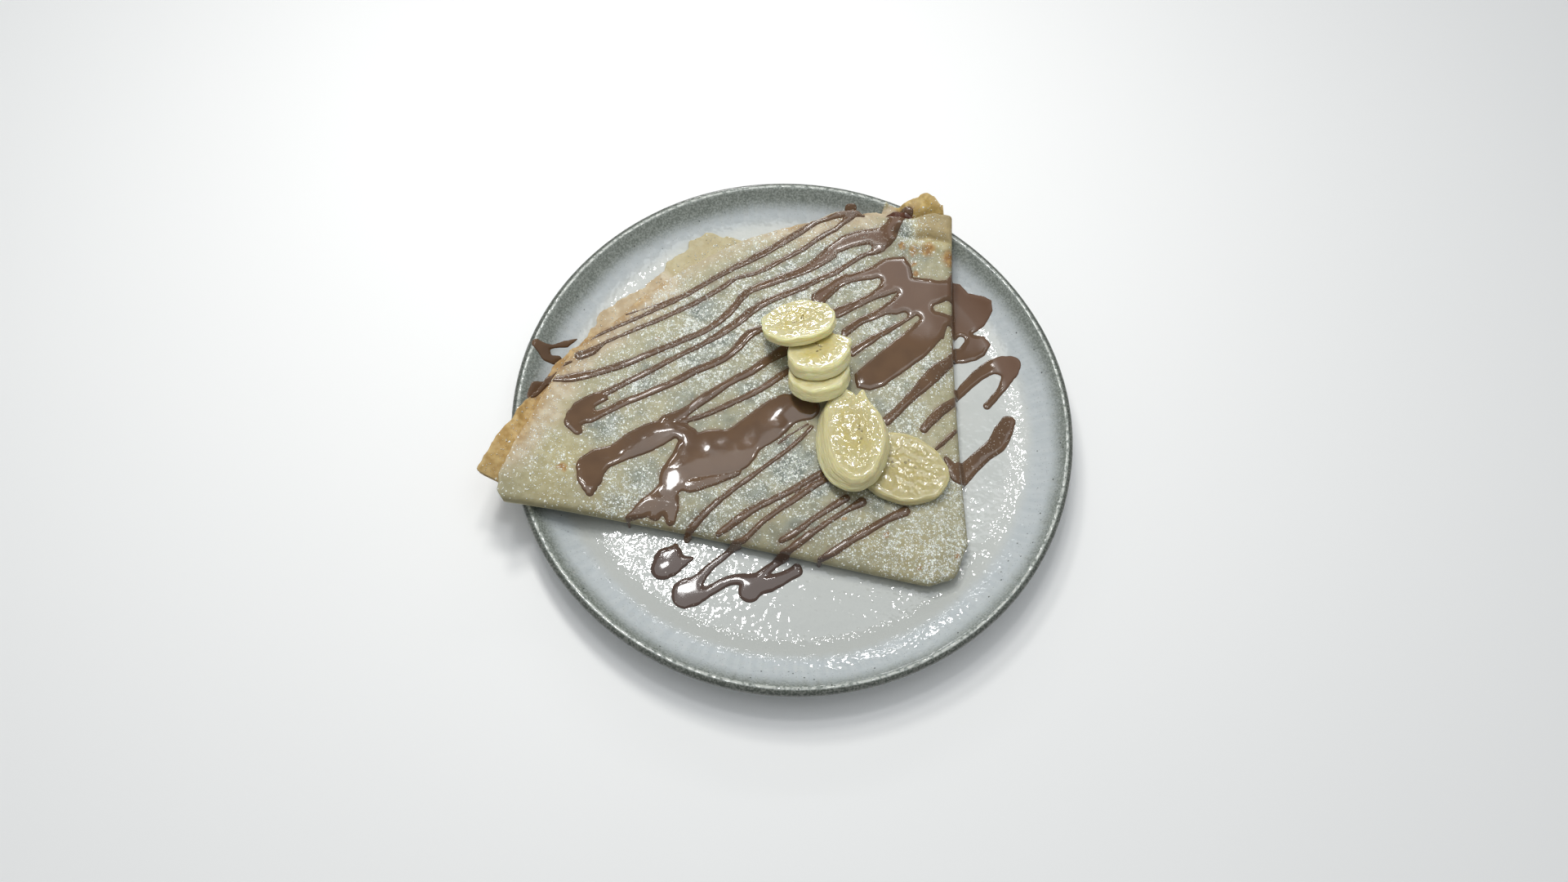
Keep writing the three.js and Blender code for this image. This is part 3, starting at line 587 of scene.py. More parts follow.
def field_value(field, x, y):
    """Value of a field on the sauce's grid at plan places."""
    u = np.clip((x - FIELD_X[0]) / CELL, 0, len(FIELD_X) - 1.01)
    v = np.clip((y - FIELD_Y[0]) / CELL, 0, len(FIELD_Y) - 1.01)
    i, j = u.astype(int), v.astype(int)
    s, t = u - i, v - j
    low = field[i, j] * (1 - s) + field[i + 1, j] * s
    high = field[i, j + 1] * (1 - s) + field[i + 1, j + 1] * s
    return low * (1 - t) + high * t


def slice_turn(spec):
    """Rotations of a slice: its lean, and the heading that comes before it."""
    rise = math.radians(spec["rise"])
    lean = Matrix.Rotation(math.radians(spec["tilt"]), 3, Vector((math.sin(rise), -math.cos(rise), 0)))
    return lean, Matrix.Rotation(math.radians(spec["turn"]), 3, "Z")


def under_slices(x, y):
    """Height of the slices' undersides, far up where there is no slice."""
    lowest = np.full(np.shape(x), 1e3)
    for spec in SLICES:
        normal = np.array(slice_turn(spec)[0] @ Vector((0, 0, 1)))
        base = np.array(spec["at"]) - normal * spec["thick"] / 2 + np.array([*spec["shear"], 0]) / 2
        dx, dy = x - base[0], y - base[1]
        turn = math.radians(spec["turn"])
        u = (dx * math.cos(turn) + dy * math.sin(turn)) / (spec["a"] + spec["flare"][0] + 1)
        v = (dy * math.cos(turn) - dx * math.sin(turn)) / (spec["b"] + spec["flare"][1] + 1)
        plane = base[2] - (normal[0] * dx + normal[1] * dy) / normal[2]
        lowest = np.where(u * u + v * v < 1, np.minimum(lowest, plane), lowest)
    return lowest


# Helpers for materials

class Nodes:
    """Short names for the shader nodes of one material."""

    def __init__(self, name):
        self.material = bpy.data.materials.new(name)
        self.material.use_nodes = True
        self.tree = self.material.node_tree
        self.surface = self.tree.nodes["Principled BSDF"]
        self.place = self.make("NewGeometry").outputs["Position"]

    def make(self, kind, inputs=(), **settings):
        node = self.tree.nodes.new("ShaderNode" + kind)
        for label, value in settings.items():
            setattr(node, label, value)
        for label, value in dict(inputs).items():
            self.set(node, label, value)
        return node

    def set(self, node, label, value):
        socket = node.inputs[label]
        if isinstance(value, bpy.types.NodeSocket):
            self.tree.links.new(value, socket)
        elif isinstance(value, tuple) and socket.type == "RGBA":
            socket.default_value = (*value, 1)
        else:
            socket.default_value = value

    def math(self, operation, a, b=0.0):
        return self.make("Math", {0: a, 1: b}, operation=operation).outputs[0]

    def plus(self, a, b):
        return self.math("ADD", a, b)

    def minus(self, a, b):
        return self.math("SUBTRACT", a, b)

    def times(self, a, b):
        return self.math("MULTIPLY", a, b)

    def vector(self, x, y, z=0.0):
        return self.make("CombineXYZ", {0: x, 1: y, 2: z}).outputs[0]

    def length(self, vector):
        return self.make("VectorMath", {0: vector}, operation="LENGTH").outputs["Value"]

    def range(self, value, low, high, to_low=0.0, to_high=1.0):
        inputs = {"Value": value, "From Min": low, "From Max": high, "To Min": to_low, "To Max": to_high}
        return self.make("MapRange", inputs, interpolation_type="SMOOTHSTEP").outputs[0]

    def mix(self, factor, a, b):
        return self.make("Mix", {0: factor, 6: a, 7: b}, data_type="RGBA").outputs[2]

    def blend(self, value, low, high, a, b):
        """From a to b as the value goes from low to high."""
        return self.mix(self.range(value, low, high), a, b)

    def noise_over(self, vector, scale, detail):
        inputs = {"Vector": vector, "Scale": scale, "Detail": detail}
        return self.make("TexNoise", inputs).outputs[0]

    def noise(self, size, detail):
        """Noise over the piece, with features of a size in millimetres."""
        return self.noise_over(self.place, 1 / (size * MM), detail)

    def cells(self, size, output="Distance"):
        inputs = {"Vector": self.place, "Scale": 1 / (size * MM)}
        return self.make("TexVoronoi", inputs).outputs[output]

    def cell_number(self, size):
        """A random number between 0 and 1 for each cell."""
        return self.make("SeparateColor", {0: self.cells(size, "Color")}).outputs[0]

    def specks(self, size, amount):
        """Small dots, of which the amount between 0 and 1 is there."""
        there = self.math("GREATER_THAN", amount, self.cell_number(size))
        return self.times(self.range(self.cells(size), 0.55, 0.36), there)

    def value(self, label):
        return self.make("Attribute", attribute_name=label).outputs["Fac"]

    def bump(self, height, distance, strength):
        inputs = {"Height": height, "Distance": distance * MM, "Strength": strength}
        return self.make("Bump", inputs).outputs[0]

    def finish(self, **inputs):
        for label, value in inputs.items():
            self.set(self.surface, label.replace("_", " "), value)
        return self.material


def glaze_material():
    """Speckled stoneware glaze: pale dish with painted shade towards the near side, bluish ring, grey-green
    lip band drawn wider on the far left as painted shade, and a pale crest that is partly worn glaze and
    partly painted highlight.
    """
    n = Nodes("speckled_glaze")
    ring, band_edge, rim_edge = (105 * MM, 111 * MM), (113.5 * MM, 120.5 * MM), (122.7 * MM, 123.3 * MM)
    crest_radius = 122.2 * MM
    centred = n.make("VectorMath", {0: n.place, 1: tuple(AXIS)}, operation="SUBTRACT").outputs[0]
    x, y, height = n.make("SeparateXYZ", {0: centred}).outputs[:3]
    radius = n.length(n.vector(x, y))
    turn = n.math("ARCTAN2", y, x)
    streak = n.noise_over(n.vector(n.times(turn, 45.0), n.times(radius, 60.0)), 1.0, 3.0)
    drift = n.times(n.minus(n.noise(26, 3), 0.5), 3.5 * MM)
    drift = n.plus(drift, n.times(n.minus(streak, 0.5), 3 * MM))
    edge = n.plus(radius, drift)
    mottle = n.noise(0.9, 4)
    dish = n.blend(n.noise(12, 3), 0.35, 0.7, (0.57, 0.59, 0.57), (0.61, 0.625, 0.605))
    # Darker towards the near side: painted shade.
    dish = n.blend(y, -20 * MM, -100 * MM, dish, (0.485, 0.50, 0.48))
    bluish = n.blend(streak, 0.35, 0.68, (0.50, 0.54, 0.56), (0.55, 0.585, 0.60))
    band = n.blend(mottle, 0.36, 0.66, (0.16, 0.18, 0.16), (0.30, 0.325, 0.30))
    colour = n.blend(edge, *ring, dish, bluish)
    # The dark band reaches further in on the far-left wall: its own grey-green glaze, widened there by
    # painted shade.
    far_left = n.minus(n.times(y, 0.018), n.times(x, 0.010))
    colour = n.blend(n.plus(edge, far_left), *band_edge, colour, band)
    # Pale line along the crest: partly worn glaze, partly painted highlight.
    crest = n.range(n.math("ABSOLUTE", n.minus(radius, crest_radius)), 0.75 * MM, 0.3 * MM)
    crest = n.times(crest, n.range(n.noise(2.2, 4), 0.40, 0.55))
    colour = n.mix(n.times(crest, 0.85), colour, (0.58, 0.60, 0.56))
    rim = n.blend(mottle, 0.4, 0.65, (0.07, 0.078, 0.066), (0.17, 0.18, 0.16))
    colour = n.blend(radius, *rim_edge, colour, rim)
    colour = n.blend(height, 3.5 * MM, 2.4 * MM, colour, (0.42, 0.40, 0.36))
    speck = n.times(n.range(n.cells(4.2), 0.12, 0.06), n.range(n.cell_number(4.2), 0.35, 0.5))
    fine = n.times(n.range(n.cells(1.3), 0.2, 0.1), 0.5)
    more = n.range(edge, 104 * MM, 117 * MM, 0.06, 0.9)
    colour = n.mix(n.times(n.math("MAXIMUM", speck, fine), more), colour, (0.06, 0.065, 0.06))
    peel = n.plus(n.noise(3.0, 1), n.times(n.noise(9, 1), 0.9))
    return n.finish(Base_Color=colour, Roughness=n.range(n.noise(14, 3), 0.3, 0.7, 0.035, 0.06),
                    Specular_IOR_Level=0.65, Normal=n.bump(peel, 0.5, 0.6))


def crepe_material():
    """Thin baked batter: pale top, beige rim, golden lower sheets, grey where the spread shows through and,
    along the near side, also as painted shade, and an olive tone as painted shade along the folds, the near
    side and the far lip.
    """
    n = Nodes("baked_batter")
    lace = n.noise(3.4, 5)
    pale = n.blend(lace, 0.35, 0.7, (0.36, 0.335, 0.21), (0.465, 0.435, 0.295))
    butter = n.blend(lace, 0.35, 0.7, (0.43, 0.37, 0.19), (0.53, 0.48, 0.285))
    beige = n.blend(n.noise(4.5, 5), 0.38, 0.66, (0.48, 0.385, 0.255), (0.60, 0.525, 0.39))
    green = n.blend(n.noise(5, 4), 0.35, 0.65, (0.155, 0.175, 0.15), (0.29, 0.31, 0.265))
    orange = n.blend(n.noise(3.2, 5), 0.38, 0.66, (0.37, 0.22, 0.08), (0.55, 0.39, 0.19))
    golden = n.blend(n.noise(2.6, 4), 0.38, 0.66, (0.40, 0.265, 0.07), (0.58, 0.42, 0.15))
    brown = n.blend(n.noise(2.0, 4), 0.4, 0.65, (0.30, 0.14, 0.035), (0.46, 0.27, 0.09))
    warm = n.value("warm")
    thin = n.plus(n.value("grey"), n.times(n.minus(n.noise(9, 4), 0.5), 1.1))
    colour = n.mix(n.value("yellow"), pale, butter)
    colour = n.blend(thin, 0.12, 0.85, colour, green)
    colour = n.blend(warm, 0.0, 0.5, colour, beige)
    colour = n.blend(warm, 0.5, 1.0, colour, orange)
    colour = n.mix(n.value("gold"), colour, golden)
    colour = n.mix(n.times(n.value("shade"), 0.65), colour, (0.23, 0.195, 0.10))
    colour = n.mix(n.value("brown"), colour, brown)
    colour = n.mix(n.times(n.value("stain"), n.range(lace, 0.3, 0.65)), colour, (0.20, 0.115, 0.07))
    fleck = n.times(n.range(n.cells(4.6), 0.085, 0.045), n.range(n.cell_number(4.6), 0.55, 0.6))
    colour = n.mix(n.times(fleck, 0.75), colour, (0.08, 0.06, 0.04))
    clumps = n.range(n.noise(1.7, 3), 0.42, 0.60, 0.15, 1.35)
    amount = n.times(n.value("sugar"), clumps)
    cover = n.math("MAXIMUM", n.specks(0.62, amount), n.specks(1.0, n.times(amount, 0.6)))
    colour = n.mix(n.times(amount, 0.3), colour, (0.60, 0.63, 0.58))
    colour = n.mix(n.times(cover, 0.95), colour, (0.88, 0.91, 0.86))
    relief = n.plus(n.times(n.cells(1.5), 0.35), n.times(lace, 0.8))
    relief = n.plus(relief, n.times(cover, 0.5))
    return n.finish(Base_Color=colour, Roughness=n.range(lace, 0.3, 0.7, 0.45, 0.65),
                    Subsurface_Weight=0.1, Subsurface_Radius=(2.0 * MM, 1.4 * MM, 0.7 * MM),
                    Subsurface_Scale=1.0, Specular_IOR_Level=0.35, Normal=n.bump(relief, 0.35, 0.7))


def sauce_material():
    """Milk-chocolate hazelnut sauce, glossy, darker at its thin edge, with sugar on some lines."""
    n = Nodes("hazelnut_sauce")
    dull = n.value("dull")
    body = n.blend(n.noise(12, 2), 0.35, 0.65, (0.116, 0.066, 0.037), (0.140, 0.080, 0.044))
    colour = n.blend(n.value("depth"), 0.0, 0.5, (0.105, 0.052, 0.027), body)
    colour = n.mix(dull, colour, (0.125, 0.060, 0.029))
    # Darker, purpler sauce on the near plate: painted shade and painted sheen.
    colour = n.mix(n.value("low"), colour, (0.088, 0.055, 0.043))
    cover = n.specks(0.55, n.times(n.value("dust"), 0.4))
    colour = n.mix(n.times(cover, 0.5), colour, (0.50, 0.44, 0.38))
    rough = n.plus(n.range(dull, 0, 1, 0.07, 0.62), n.times(cover, 0.15))
    relief = n.plus(n.times(n.noise(3.5, 0), 0.7), n.times(cover, 0.3))
    return n.finish(Base_Color=colour, Roughness=rough, Specular_IOR_Level=0.65,
                    Normal=n.bump(relief, 0.05, 0.6))


def banana_material():
    """Cut banana: pale wet flesh, deeper yellow round the heart, small brown seeds, ribbed wall."""
    n = Nodes("cut_banana")
    face, local_x, local_y, seed = (n.value(label) for label in ("face", "local_x", "local_y", "seed"))
    reach = n.length(n.vector(local_x, local_y))
    angle = n.math("ARCTAN2", local_y, local_x)
    fibres = n.noise_over(n.vector(n.times(angle, 4.0), n.times(reach, 2.5), seed), 2.0, 4.0)
    cloud = n.noise_over(n.vector(local_x, local_y, seed), 2.6, 3.0)
    flesh = n.blend(cloud, 0.35, 0.65, (0.56, 0.50, 0.25), (0.66, 0.61, 0.36))
    core = n.times(n.range(reach, 0.66, 0.30), n.range(fibres, 0.25, 0.7))
    flesh = n.mix(n.times(core, 0.75), flesh, (0.53, 0.44, 0.175))
    clear = n.times(n.range(cloud, 0.48, 0.62), n.range(reach, 0.85, 0.4))
    flesh = n.mix(n.times(clear, 0.8), flesh, (0.58, 0.49, 0.17))
    rim = n.range(n.plus(reach, n.times(fibres, 0.12)), 0.86, 0.98)
    flesh = n.mix(n.times(rim, 0.5), flesh, (0.76, 0.72, 0.48))
    stripe = n.noise_over(n.vector(n.times(angle, 2.5), n.times(n.value("level"), 9.0)), 1.6, 3.0)
    # The wall is drawn much lighter than the face: its paler flesh, and painted light for the light the walls
    # catch.
    wall = n.blend(stripe, 0.35, 0.65, (0.85, 0.79, 0.44), (0.91, 0.86, 0.53))
    colour = n.mix(face, wall, flesh)
    # Slices 4 and 5 are drawn darker and deeper yellow, partly as painted shade.
    colour = n.mix(n.times(n.value("darker_flesh"), 0.6), colour, (0.47, 0.40, 0.19))
    colour = n.mix(n.value("pips"), colour, (0.17, 0.12, 0.05))
    rough = n.minus(0.42, n.times(face, n.range(cloud, 0.35, 0.6, 0.30, 0.36)))
    wet = n.times(face, n.range(reach, 0.9, 0.6, 0.35, 1.0))
    lumps = n.plus(n.noise(3.4, 0), n.times(n.noise(1.7, 0), 0.45))
    ribs = n.times(stripe, n.times(n.minus(1.0, face), 0.6))
    return n.finish(Base_Color=colour, Roughness=rough, Specular_IOR_Level=1.0,
                    Subsurface_Weight=0.8, Subsurface_Radius=(4.0 * MM, 3.2 * MM, 1.5 * MM),
                    Subsurface_Scale=1.0, Normal=n.bump(n.plus(n.times(lumps, wet), ribs), 0.6, 1.0))


def sugar_material():
    n = Nodes("icing_sugar")
    colour = n.mix(n.noise(0.8, 2), (0.78, 0.81, 0.76), (0.88, 0.90, 0.86))
    return n.finish(Base_Color=colour, Roughness=0.75, Subsurface_Weight=0.1,
                    Subsurface_Radius=(0.6 * MM, 0.6 * MM, 0.6 * MM), Subsurface_Scale=1.0,
                    Normal=n.bump(n.noise(0.4, 2), 0.1, 0.6))


def spread_material():
    n = Nodes("hazelnut_spread")
    colour = n.blend(n.noise(4, 3), 0.35, 0.65, (0.070, 0.024, 0.012), (0.11, 0.042, 0.02))
    return n.finish(Base_Color=colour, Roughness=0.2, Normal=n.bump(n.noise(2.5, 3), 0.4, 0.6))


def floor_material():
    n = Nodes("floor")
    colour = n.mix(n.noise(300, 2), (0.93, 0.93, 0.93), (0.95, 0.95, 0.95))
    return n.finish(Base_Color=colour, Roughness=0.9)


# Pieces

def make_plate(material):
    angles = np.linspace(0, 2 * np.pi, 480, endpoint=False)
    profile = [(0.01, FOOT_RECESS), (30, FOOT_RECESS), (FOOT_RADIUS - FOOT_WIDTH - 3, FOOT_RECESS),
               (FOOT_RADIUS - FOOT_WIDTH - 1, 1.6), (FOOT_RADIUS - FOOT_WIDTH, 0.3),
               (FOOT_RADIUS - FOOT_WIDTH + 1, 0), (FOOT_RADIUS - 1, 0), (FOOT_RADIUS, 0.4),
               (FOOT_RADIUS + 1.2, 2), (FOOT_RADIUS + 3.5, 2.9), (85, 3.2), (96, 3.6), (103, 5), (108, 6.6),
               (113, 8.7), (117, 11), (120.5, 13), (123, 15), (124.5, 16.4), (PLATE_RADIUS, 17.6),
               (124.95, 18.4), (124.5, 19.2), (123.8, 19.7), (122.9, LIP_TOP)]
    profile += [(r, plate_top(r)) for r in np.arange(LIP_CREST_RADIUS, WALL_START_RADIUS - 3, -0.8)]
    profile += [(r, BASE_TOP) for r in np.linspace(WALL_START_RADIUS - 4, 0.01, 60)]
    radius, z = np.array(profile).T
    wobble = 1 + 0.0012 * np.sin(3 * angles + 0.5) + 0.0007 * np.sin(7 * angles)
    x = radius[:, None] * np.cos(angles) * wobble
    y = radius[:, None] * np.sin(angles) * wobble
    height = np.repeat(z[:, None], len(angles), 1)
    height = height + 0.12 * noise(x, y, 25, 41) * smooth(10, 20, height)
    points = np.stack([x, y, height], -1)
    return add_mesh("plate_glazed", points, grid_faces(len(radius), len(angles), True), material)


def crepe_rows():
    """Rows of the crepe's closed surface, from the apex over the top, down the arc and back below.

    The zone of a row goes from 0 on the top sheet to 1 on the ledge. Rows of a lip are given as level,
    how far they are set in from the edge, and zone or how much of the tongue's curl they have.
    """
    top_lip = [(8.75, -0.4, 0.1), (8.2, -0.65, 0.3), (7.5, -0.6, 0.5), (6.9, -0.3, 0.6),
               (6.4, 0.4, 0.7), (6.2, 1.6, 0.8), (6.1, 4.5, 0.9), (4.6, 4.5, 1.0)]
    ledge_lip = [(3.6, -0.25, 1), (3.2, -0.3, 1), (2.7, 0.1, 0.8), (2.4, 1.4, 0.5), (2.1, 1.2, 0.2),
                 (1.7, 0.2, 0), (1.1, 0, 0), (0.6, 0.2, 0), (0.2, 0.8, 0)]
    fold_steps = np.array([0, 0.002, 0.005, 0.009, 0.014])
    across = np.concatenate([fold_steps, np.linspace(0.018, 0.982, 330), 1 - fold_steps[::-1]])
    along = np.concatenate([fold_steps, np.linspace(0.02, 1, 330)])
    open_share = smooth(0, 0.004, np.minimum(across, 1 - across))
    rows = []

    def add_row(x, y, z, zone):
        rows.append((x, y, z, np.full(len(across), zone)))

    def level_row(share, ledge, level, inset, zone, raised=0.0):
        x, y = plan_point(share - inset * open_share / REACH, across, ledge * open_share)
        fold, arc, _ = inside(x, y)
        z = crepe_under(x, y) + THICKNESS / 2 + fold_rise(level, fold)
        add_row(x, y, z + raised * (ledge_top(x, y, arc) - crepe_under(x, y) - LEDGE_LEVEL), zone)

    for share in along:
        x, y = plan_point(share, across)
        add_row(x, y, crepe_top(x, y), 0)
    for level, inset, zone in top_lip:
        level_row(1, 0, level, inset, zone)
    for t in np.linspace(0, 1, 18)[1:]:
        level_row(1, t, LEDGE_LEVEL - 0.4 * t * t, 4.5 * (1 - t), 1.0, 1.0)
    for level, inset, raised in ledge_lip:
        level_row(1, 1, level, inset, 1.0, raised)
    for share in np.linspace(1, 0, 60):
        level_row(share, 0.96 * share, 0, 3 * share, UNDERSIDE)
    return across, rows


def brown_spots(x, y):
    brown = np.zeros_like(x)
    for cx, cy, reach in BROWN:
        off = np.hypot(x - cx, y - cy) + 0.9 * noise(x, y, 1.8, 54)
        brown = np.maximum(brown, smooth(reach, reach * 0.35, off) * 0.9)
    return brown


def crepe_looks(x, y, zone, angle, depth):
    """Values at the points that steer the crepe's colours."""
    fold, arc, _ = inside(x, y)
    above = zone != UNDERSIDE
    on_ledge = smooth(0.15, 0.9, zone) * above
    rim = smooth(17, 2, arc + 3 * noise(x, y, 7, 51)) * smooth(176, 168, angle) * smooth(104, 110, angle)
    orange_rim = smooth(6, -1, arc + 2 * noise(x, y, 4, 55))
    orange_rim = orange_rim * smooth(112, 122, angle) * smooth(176, 170, angle)
    pale_stretch = smooth(139.5, 136, angle) * smooth(119, 124, angle)
    pale_part = np.maximum(0.8 * pale_stretch, 0.35 * smooth(153, 147, angle))
    lip = smooth(46, 50, x) * smooth(94.5, 98, y) * smooth(110, 107, y)
    peak = np.exp(-(np.hypot(x - FAR_PEAK[0], y - FAR_PEAK[1]) / 3.2) ** 4)
    warm = np.maximum((0.5 * rim + 0.35 * orange_rim) * (1 - 0.6 * pale_stretch), on_ledge)
    warm = np.maximum(warm * (1 - pale_part * on_ledge), 0.4 * lip)
    gold = on_ledge * (smooth(104.6, 104, angle) + 0.45 * smooth(158, 166, angle))
    gold = np.maximum(gold * (0.8 + 0.2 * noise(x, y, 5, 56)), 0.5 * lip)
    yellow = np.maximum(patches(x, y, YELLOW), smooth(84, 98, y) * smooth(38, 52, x))
    yellow = np.maximum(yellow, 0.9 * on_ledge)
    shade = smooth(4.5, 0.6, fold) * (1 - 0.5 * smooth(-30, 20, x))
    shade = np.maximum(shade, 0.6 * smooth(-30, -64, y)) * above
    shade = np.maximum(shade, 0.65 * lip)
    base_grey = 0.44 * smooth(-75, -45, x) * smooth(64, 48, x) * (1 - yellow)
    # Grey where the spread shows through the thin fold; along the near side it is also painted shade.
    grey = np.maximum(patches(x, y, GREY), base_grey) * smooth(-1, 3, fold)
    grey = grey * (1 - on_ledge) * (1 - 0.7 * rim) * (1 - lip)
    stain = smooth(-2.4, 0.2, field_value(depth, x, y)) * 0.55 * above
    sugar = sugar_amount(x, y) * (1 - 0.85 * on_ledge) * (1 - 0.7 * lip) * smooth(-1, 2, fold) * above
    return {"warm": np.clip(warm * (1 - peak), 0, 1), "gold": np.clip(gold * (1 - peak), 0, 1),
            "grey": grey, "yellow": yellow, "shade": shade, "brown": brown_spots(x, y) * (1 - on_ledge),
            "stain": stain, "sugar": np.clip(sugar + 0.5 * peak, 0, 1)}


def make_crepe(material, depth):
    across, rows = crepe_rows()
    x, y, z, zone = (np.array([row[k] for row in rows]) for k in range(4))
    values = crepe_looks(x, y, zone, corner_angle(across)[None, :] + 0 * x, depth)
    return add_mesh("crepe_folded", np.stack([x, y, z], -1), grid_faces(*x.shape), material, values)


def make_spread(material):
    """Layer of spread between the sheets, squeezed out past the edge at the far tip."""
    across = np.linspace(*SPREAD_SIDES, 260)
    squeezed = np.exp(-((across - 0.095) / 0.03) ** 2)
    ragged = 0.8 * noise(across * 280, 0 * across, 4, 61)
    reach = 1 + (7.0 * squeezed - 2.2 + ragged) / REACH
    shares = np.linspace(SPREAD_START, 1, 60)
    rows = []

    def add_row(share, level):
        x, y = plan_point(share * reach, across)
        arc = inside(x, y)[1]
        bulge = smooth(2, -2, arc) * squeezed * (level - SPREAD_LOW) * (1 + 0.5 * noise(x, y, 2.5, 62))
        rows.append(np.stack([x, y, crepe_under(x, y) + level + bulge + 2.4 * far_tongue(x, y, arc)], -1))

    for share in shares:
        add_row(share, SPREAD_HIGH)
    add_row(1.003, (SPREAD_LOW + SPREAD_HIGH) / 2 + 0.3)
    for share in shares[::-1]:
        add_row(share, SPREAD_LOW)
    rows.append(rows[0])
    points = np.array(rows)
    columns = len(across)
    caps = []
    for k in range(len(shares) - 1):
        back = 2 * len(shares) - k
        cap = np.array([k, k + 1, back - 1, back]) * columns
        caps += [cap, cap[::-1] + columns - 1]
    faces = np.concatenate([grid_faces(len(rows), columns), caps])
    return add_mesh("spread_layer", points, faces, material)


def slice_outline(spec, angle):
    """Share of the oval's radius at angles, with slow swells and the named uneven places."""
    phase = np.random.default_rng(spec["number"]).uniform(0, 6.28, 4)
    share = 1 + 0.018 * np.sin(3 * angle + phase[0]) + 0.012 * np.sin(5 * angle + phase[1])
    share += 0.006 * np.sin(9 * angle + phase[2]) + 0.005 * np.sin(14 * angle + phase[3])
    for place, size, spread in spec["nubs"]:
        off = (np.degrees(angle) - place + 180) % 360 - 180
        share += size / spec["b"] * np.exp(-(off / spread) ** 2)
    return share


def slice_pips(spec, u, v, x, y):
    """Seeds round the heart of a slice: how dark they are and how deep they lie."""
    rng = np.random.default_rng(spec["number"] + 10)
    dark, dents = np.zeros_like(u), np.zeros_like(u)
    for _ in range(5):
        turn, reach = rng.uniform(0, 6.28), rng.uniform(0.08, 0.3)
        off = np.hypot((u - reach * math.cos(turn)) * spec["a"], (v - reach * math.sin(turn)) * spec["b"])
        dot = smooth(0.85, 0.25, off + 0.2 * noise(x, y, 0.7, spec["number"] + 74))
        dark = np.maximum(dark, dot * rng.uniform(0.35, 0.9))
        dents += 0.2 * dot
    return dark, dents


def make_slice(spec, material):
    """Oval banana slice with an uneven rim, a lumpy wet face, seeds and a ribbed wall."""
    number = spec["number"]
    columns = 200
    angle = np.linspace(0, 2 * np.pi, columns, endpoint=False)[None, :]
    rings = [(0.5, s) for s in np.concatenate([np.linspace(0.003, 0.88, 60), (0.905, 0.925)])]
    rings += [(0.485, 0.945), (0.46, 0.962), (0.42, 0.977), (0.36, 0.99), (0.28, 0.997)]
    rings += [(level, 1.0) for level in np.linspace(0.22, -0.36, 22)]
    rings += [(-0.42, 0.985), (-0.47, 0.96), (-0.5, 0.92), (-0.5, 0.5), (-0.5, 0.003)]
    level, scale = (np.array(column)[:, None] for column in zip(*rings))
    fray = smooth(0.7, 1.0, scale) * smooth(-0.5, 0.4, level)
    body = 1 + (slice_outline(spec, angle) - 1) * (0.35 + 0.65 * fray) * smooth(0.3, 1.0, scale)
    u, v = scale * body * np.cos(angle), scale * body * np.sin(angle)
    face = smooth(0.44, 0.495, level) * np.ones_like(u)
    wall = smooth(0.9, 1.0, scale) * (1 - face)
    stripe = noise(angle * 2.2, level * 7 + 0 * angle, 1.0, number + 72)
    rib = noise(angle * 5, 0 * angle + level, 1.0, number + 73)
    grow = 1 + wall * (0.012 * stripe + 0.010 * rib)
    x = u * grow * (spec["a"] + spec["flare"][0] * (0.5 - level))
    y = v * grow * (spec["b"] + spec["flare"][1] * (0.5 - level))
    lumps = 0.20 * noise(x, y, 4.5, number + 70) + 0.11 * noise(x, y, 1.9, number + 71)
    heart = -0.3 * np.exp(-(scale / 0.25) ** 2) + 0.15 * np.exp(-((scale - 0.55) / 0.2) ** 2)
    pips, dents = slice_pips(spec, u, v, x, y)
    z = level * spec["thick"] + face * (lumps + heart - dents)
    lean, heading = map(np.array, slice_turn(spec))
    points = np.stack([x, y, z], -1).reshape(-1, 3) @ heading.T
    points[:, :2] -= (level + 0 * u).reshape(-1, 1) * np.array(spec["shear"])
    points = points @ lean.T + np.array(spec["at"])
    values = {"face": face, "local_x": u, "local_y": v, "pips": pips * face, "level": level + 0 * u,
              "seed": np.full(u.shape, number * 3.7), "darker_flesh": np.full(u.shape, spec["darker_flesh"])}
    faces = grid_faces(len(rings), columns, True)
    return add_mesh(f"banana_slice_{number}_cut", points, faces, material, values)


def make_sugar(material, depth, height, dust):
    """Clumps of icing sugar as one mesh of small uneven lumps."""
    rng = np.random.default_rng(7)
    x, y = rng.uniform(-128, 84, GRAIN_PLACES), rng.uniform(-73, 117, GRAIN_PLACES)
    fold, arc, ledge = inside(x, y)
    on_sauce = field_value(depth, x, y) > -0.2
    clump = 0.15 + 1.3 * smooth(-0.15, 0.55, noise(x, y, 1.7, 33) + 0.35 * noise(x, y, 0.8, 34))
    chance = np.where(on_sauce, 0.16 * field_value(dust, x, y), 1.3 * sugar_amount(x, y)) * clump
    lying = (fold > 1.2) & (arc > -0.8 * ledge) & (rng.uniform(0, 1, GRAIN_PLACES) < chance)
    x, y, on_sauce = (v[lying][:GRAINS] for v in (x, y, on_sauce))
    z = hard_ground(x, y) + np.where(on_sauce, field_value(height, x, y), 0)
    size = 0.17 + 0.3 * rng.uniform(0, 1, len(x)) ** 2.5
    third = 2.094
    corners = [(math.cos(k * third), math.sin(k * third), -0.1) for k in range(3)]
    lump = np.array([*corners, (0, 0, 0.8)])
    sides = np.array([(0, 1, 3), (1, 2, 3), (2, 0, 3), (2, 1, 0)])
    shape = lump * rng.uniform(0.6, 1.35, (len(x), 4, 1))
    turn = rng.uniform(0, 6.28, len(x))[:, None]
    px = shape[..., 0] * np.cos(turn) - shape[..., 1] * np.sin(turn)
    py = shape[..., 0] * np.sin(turn) + shape[..., 1] * np.cos(turn)
    points = np.stack([px, py, shape[..., 2]], -1) * size[:, None, None] + np.stack([x, y, z], -1)[:, None, :]
    faces = (np.arange(len(x)) * 4)[:, None, None] + sides
    return add_mesh("icing_sugar", points, faces.reshape(-1, 3), material)


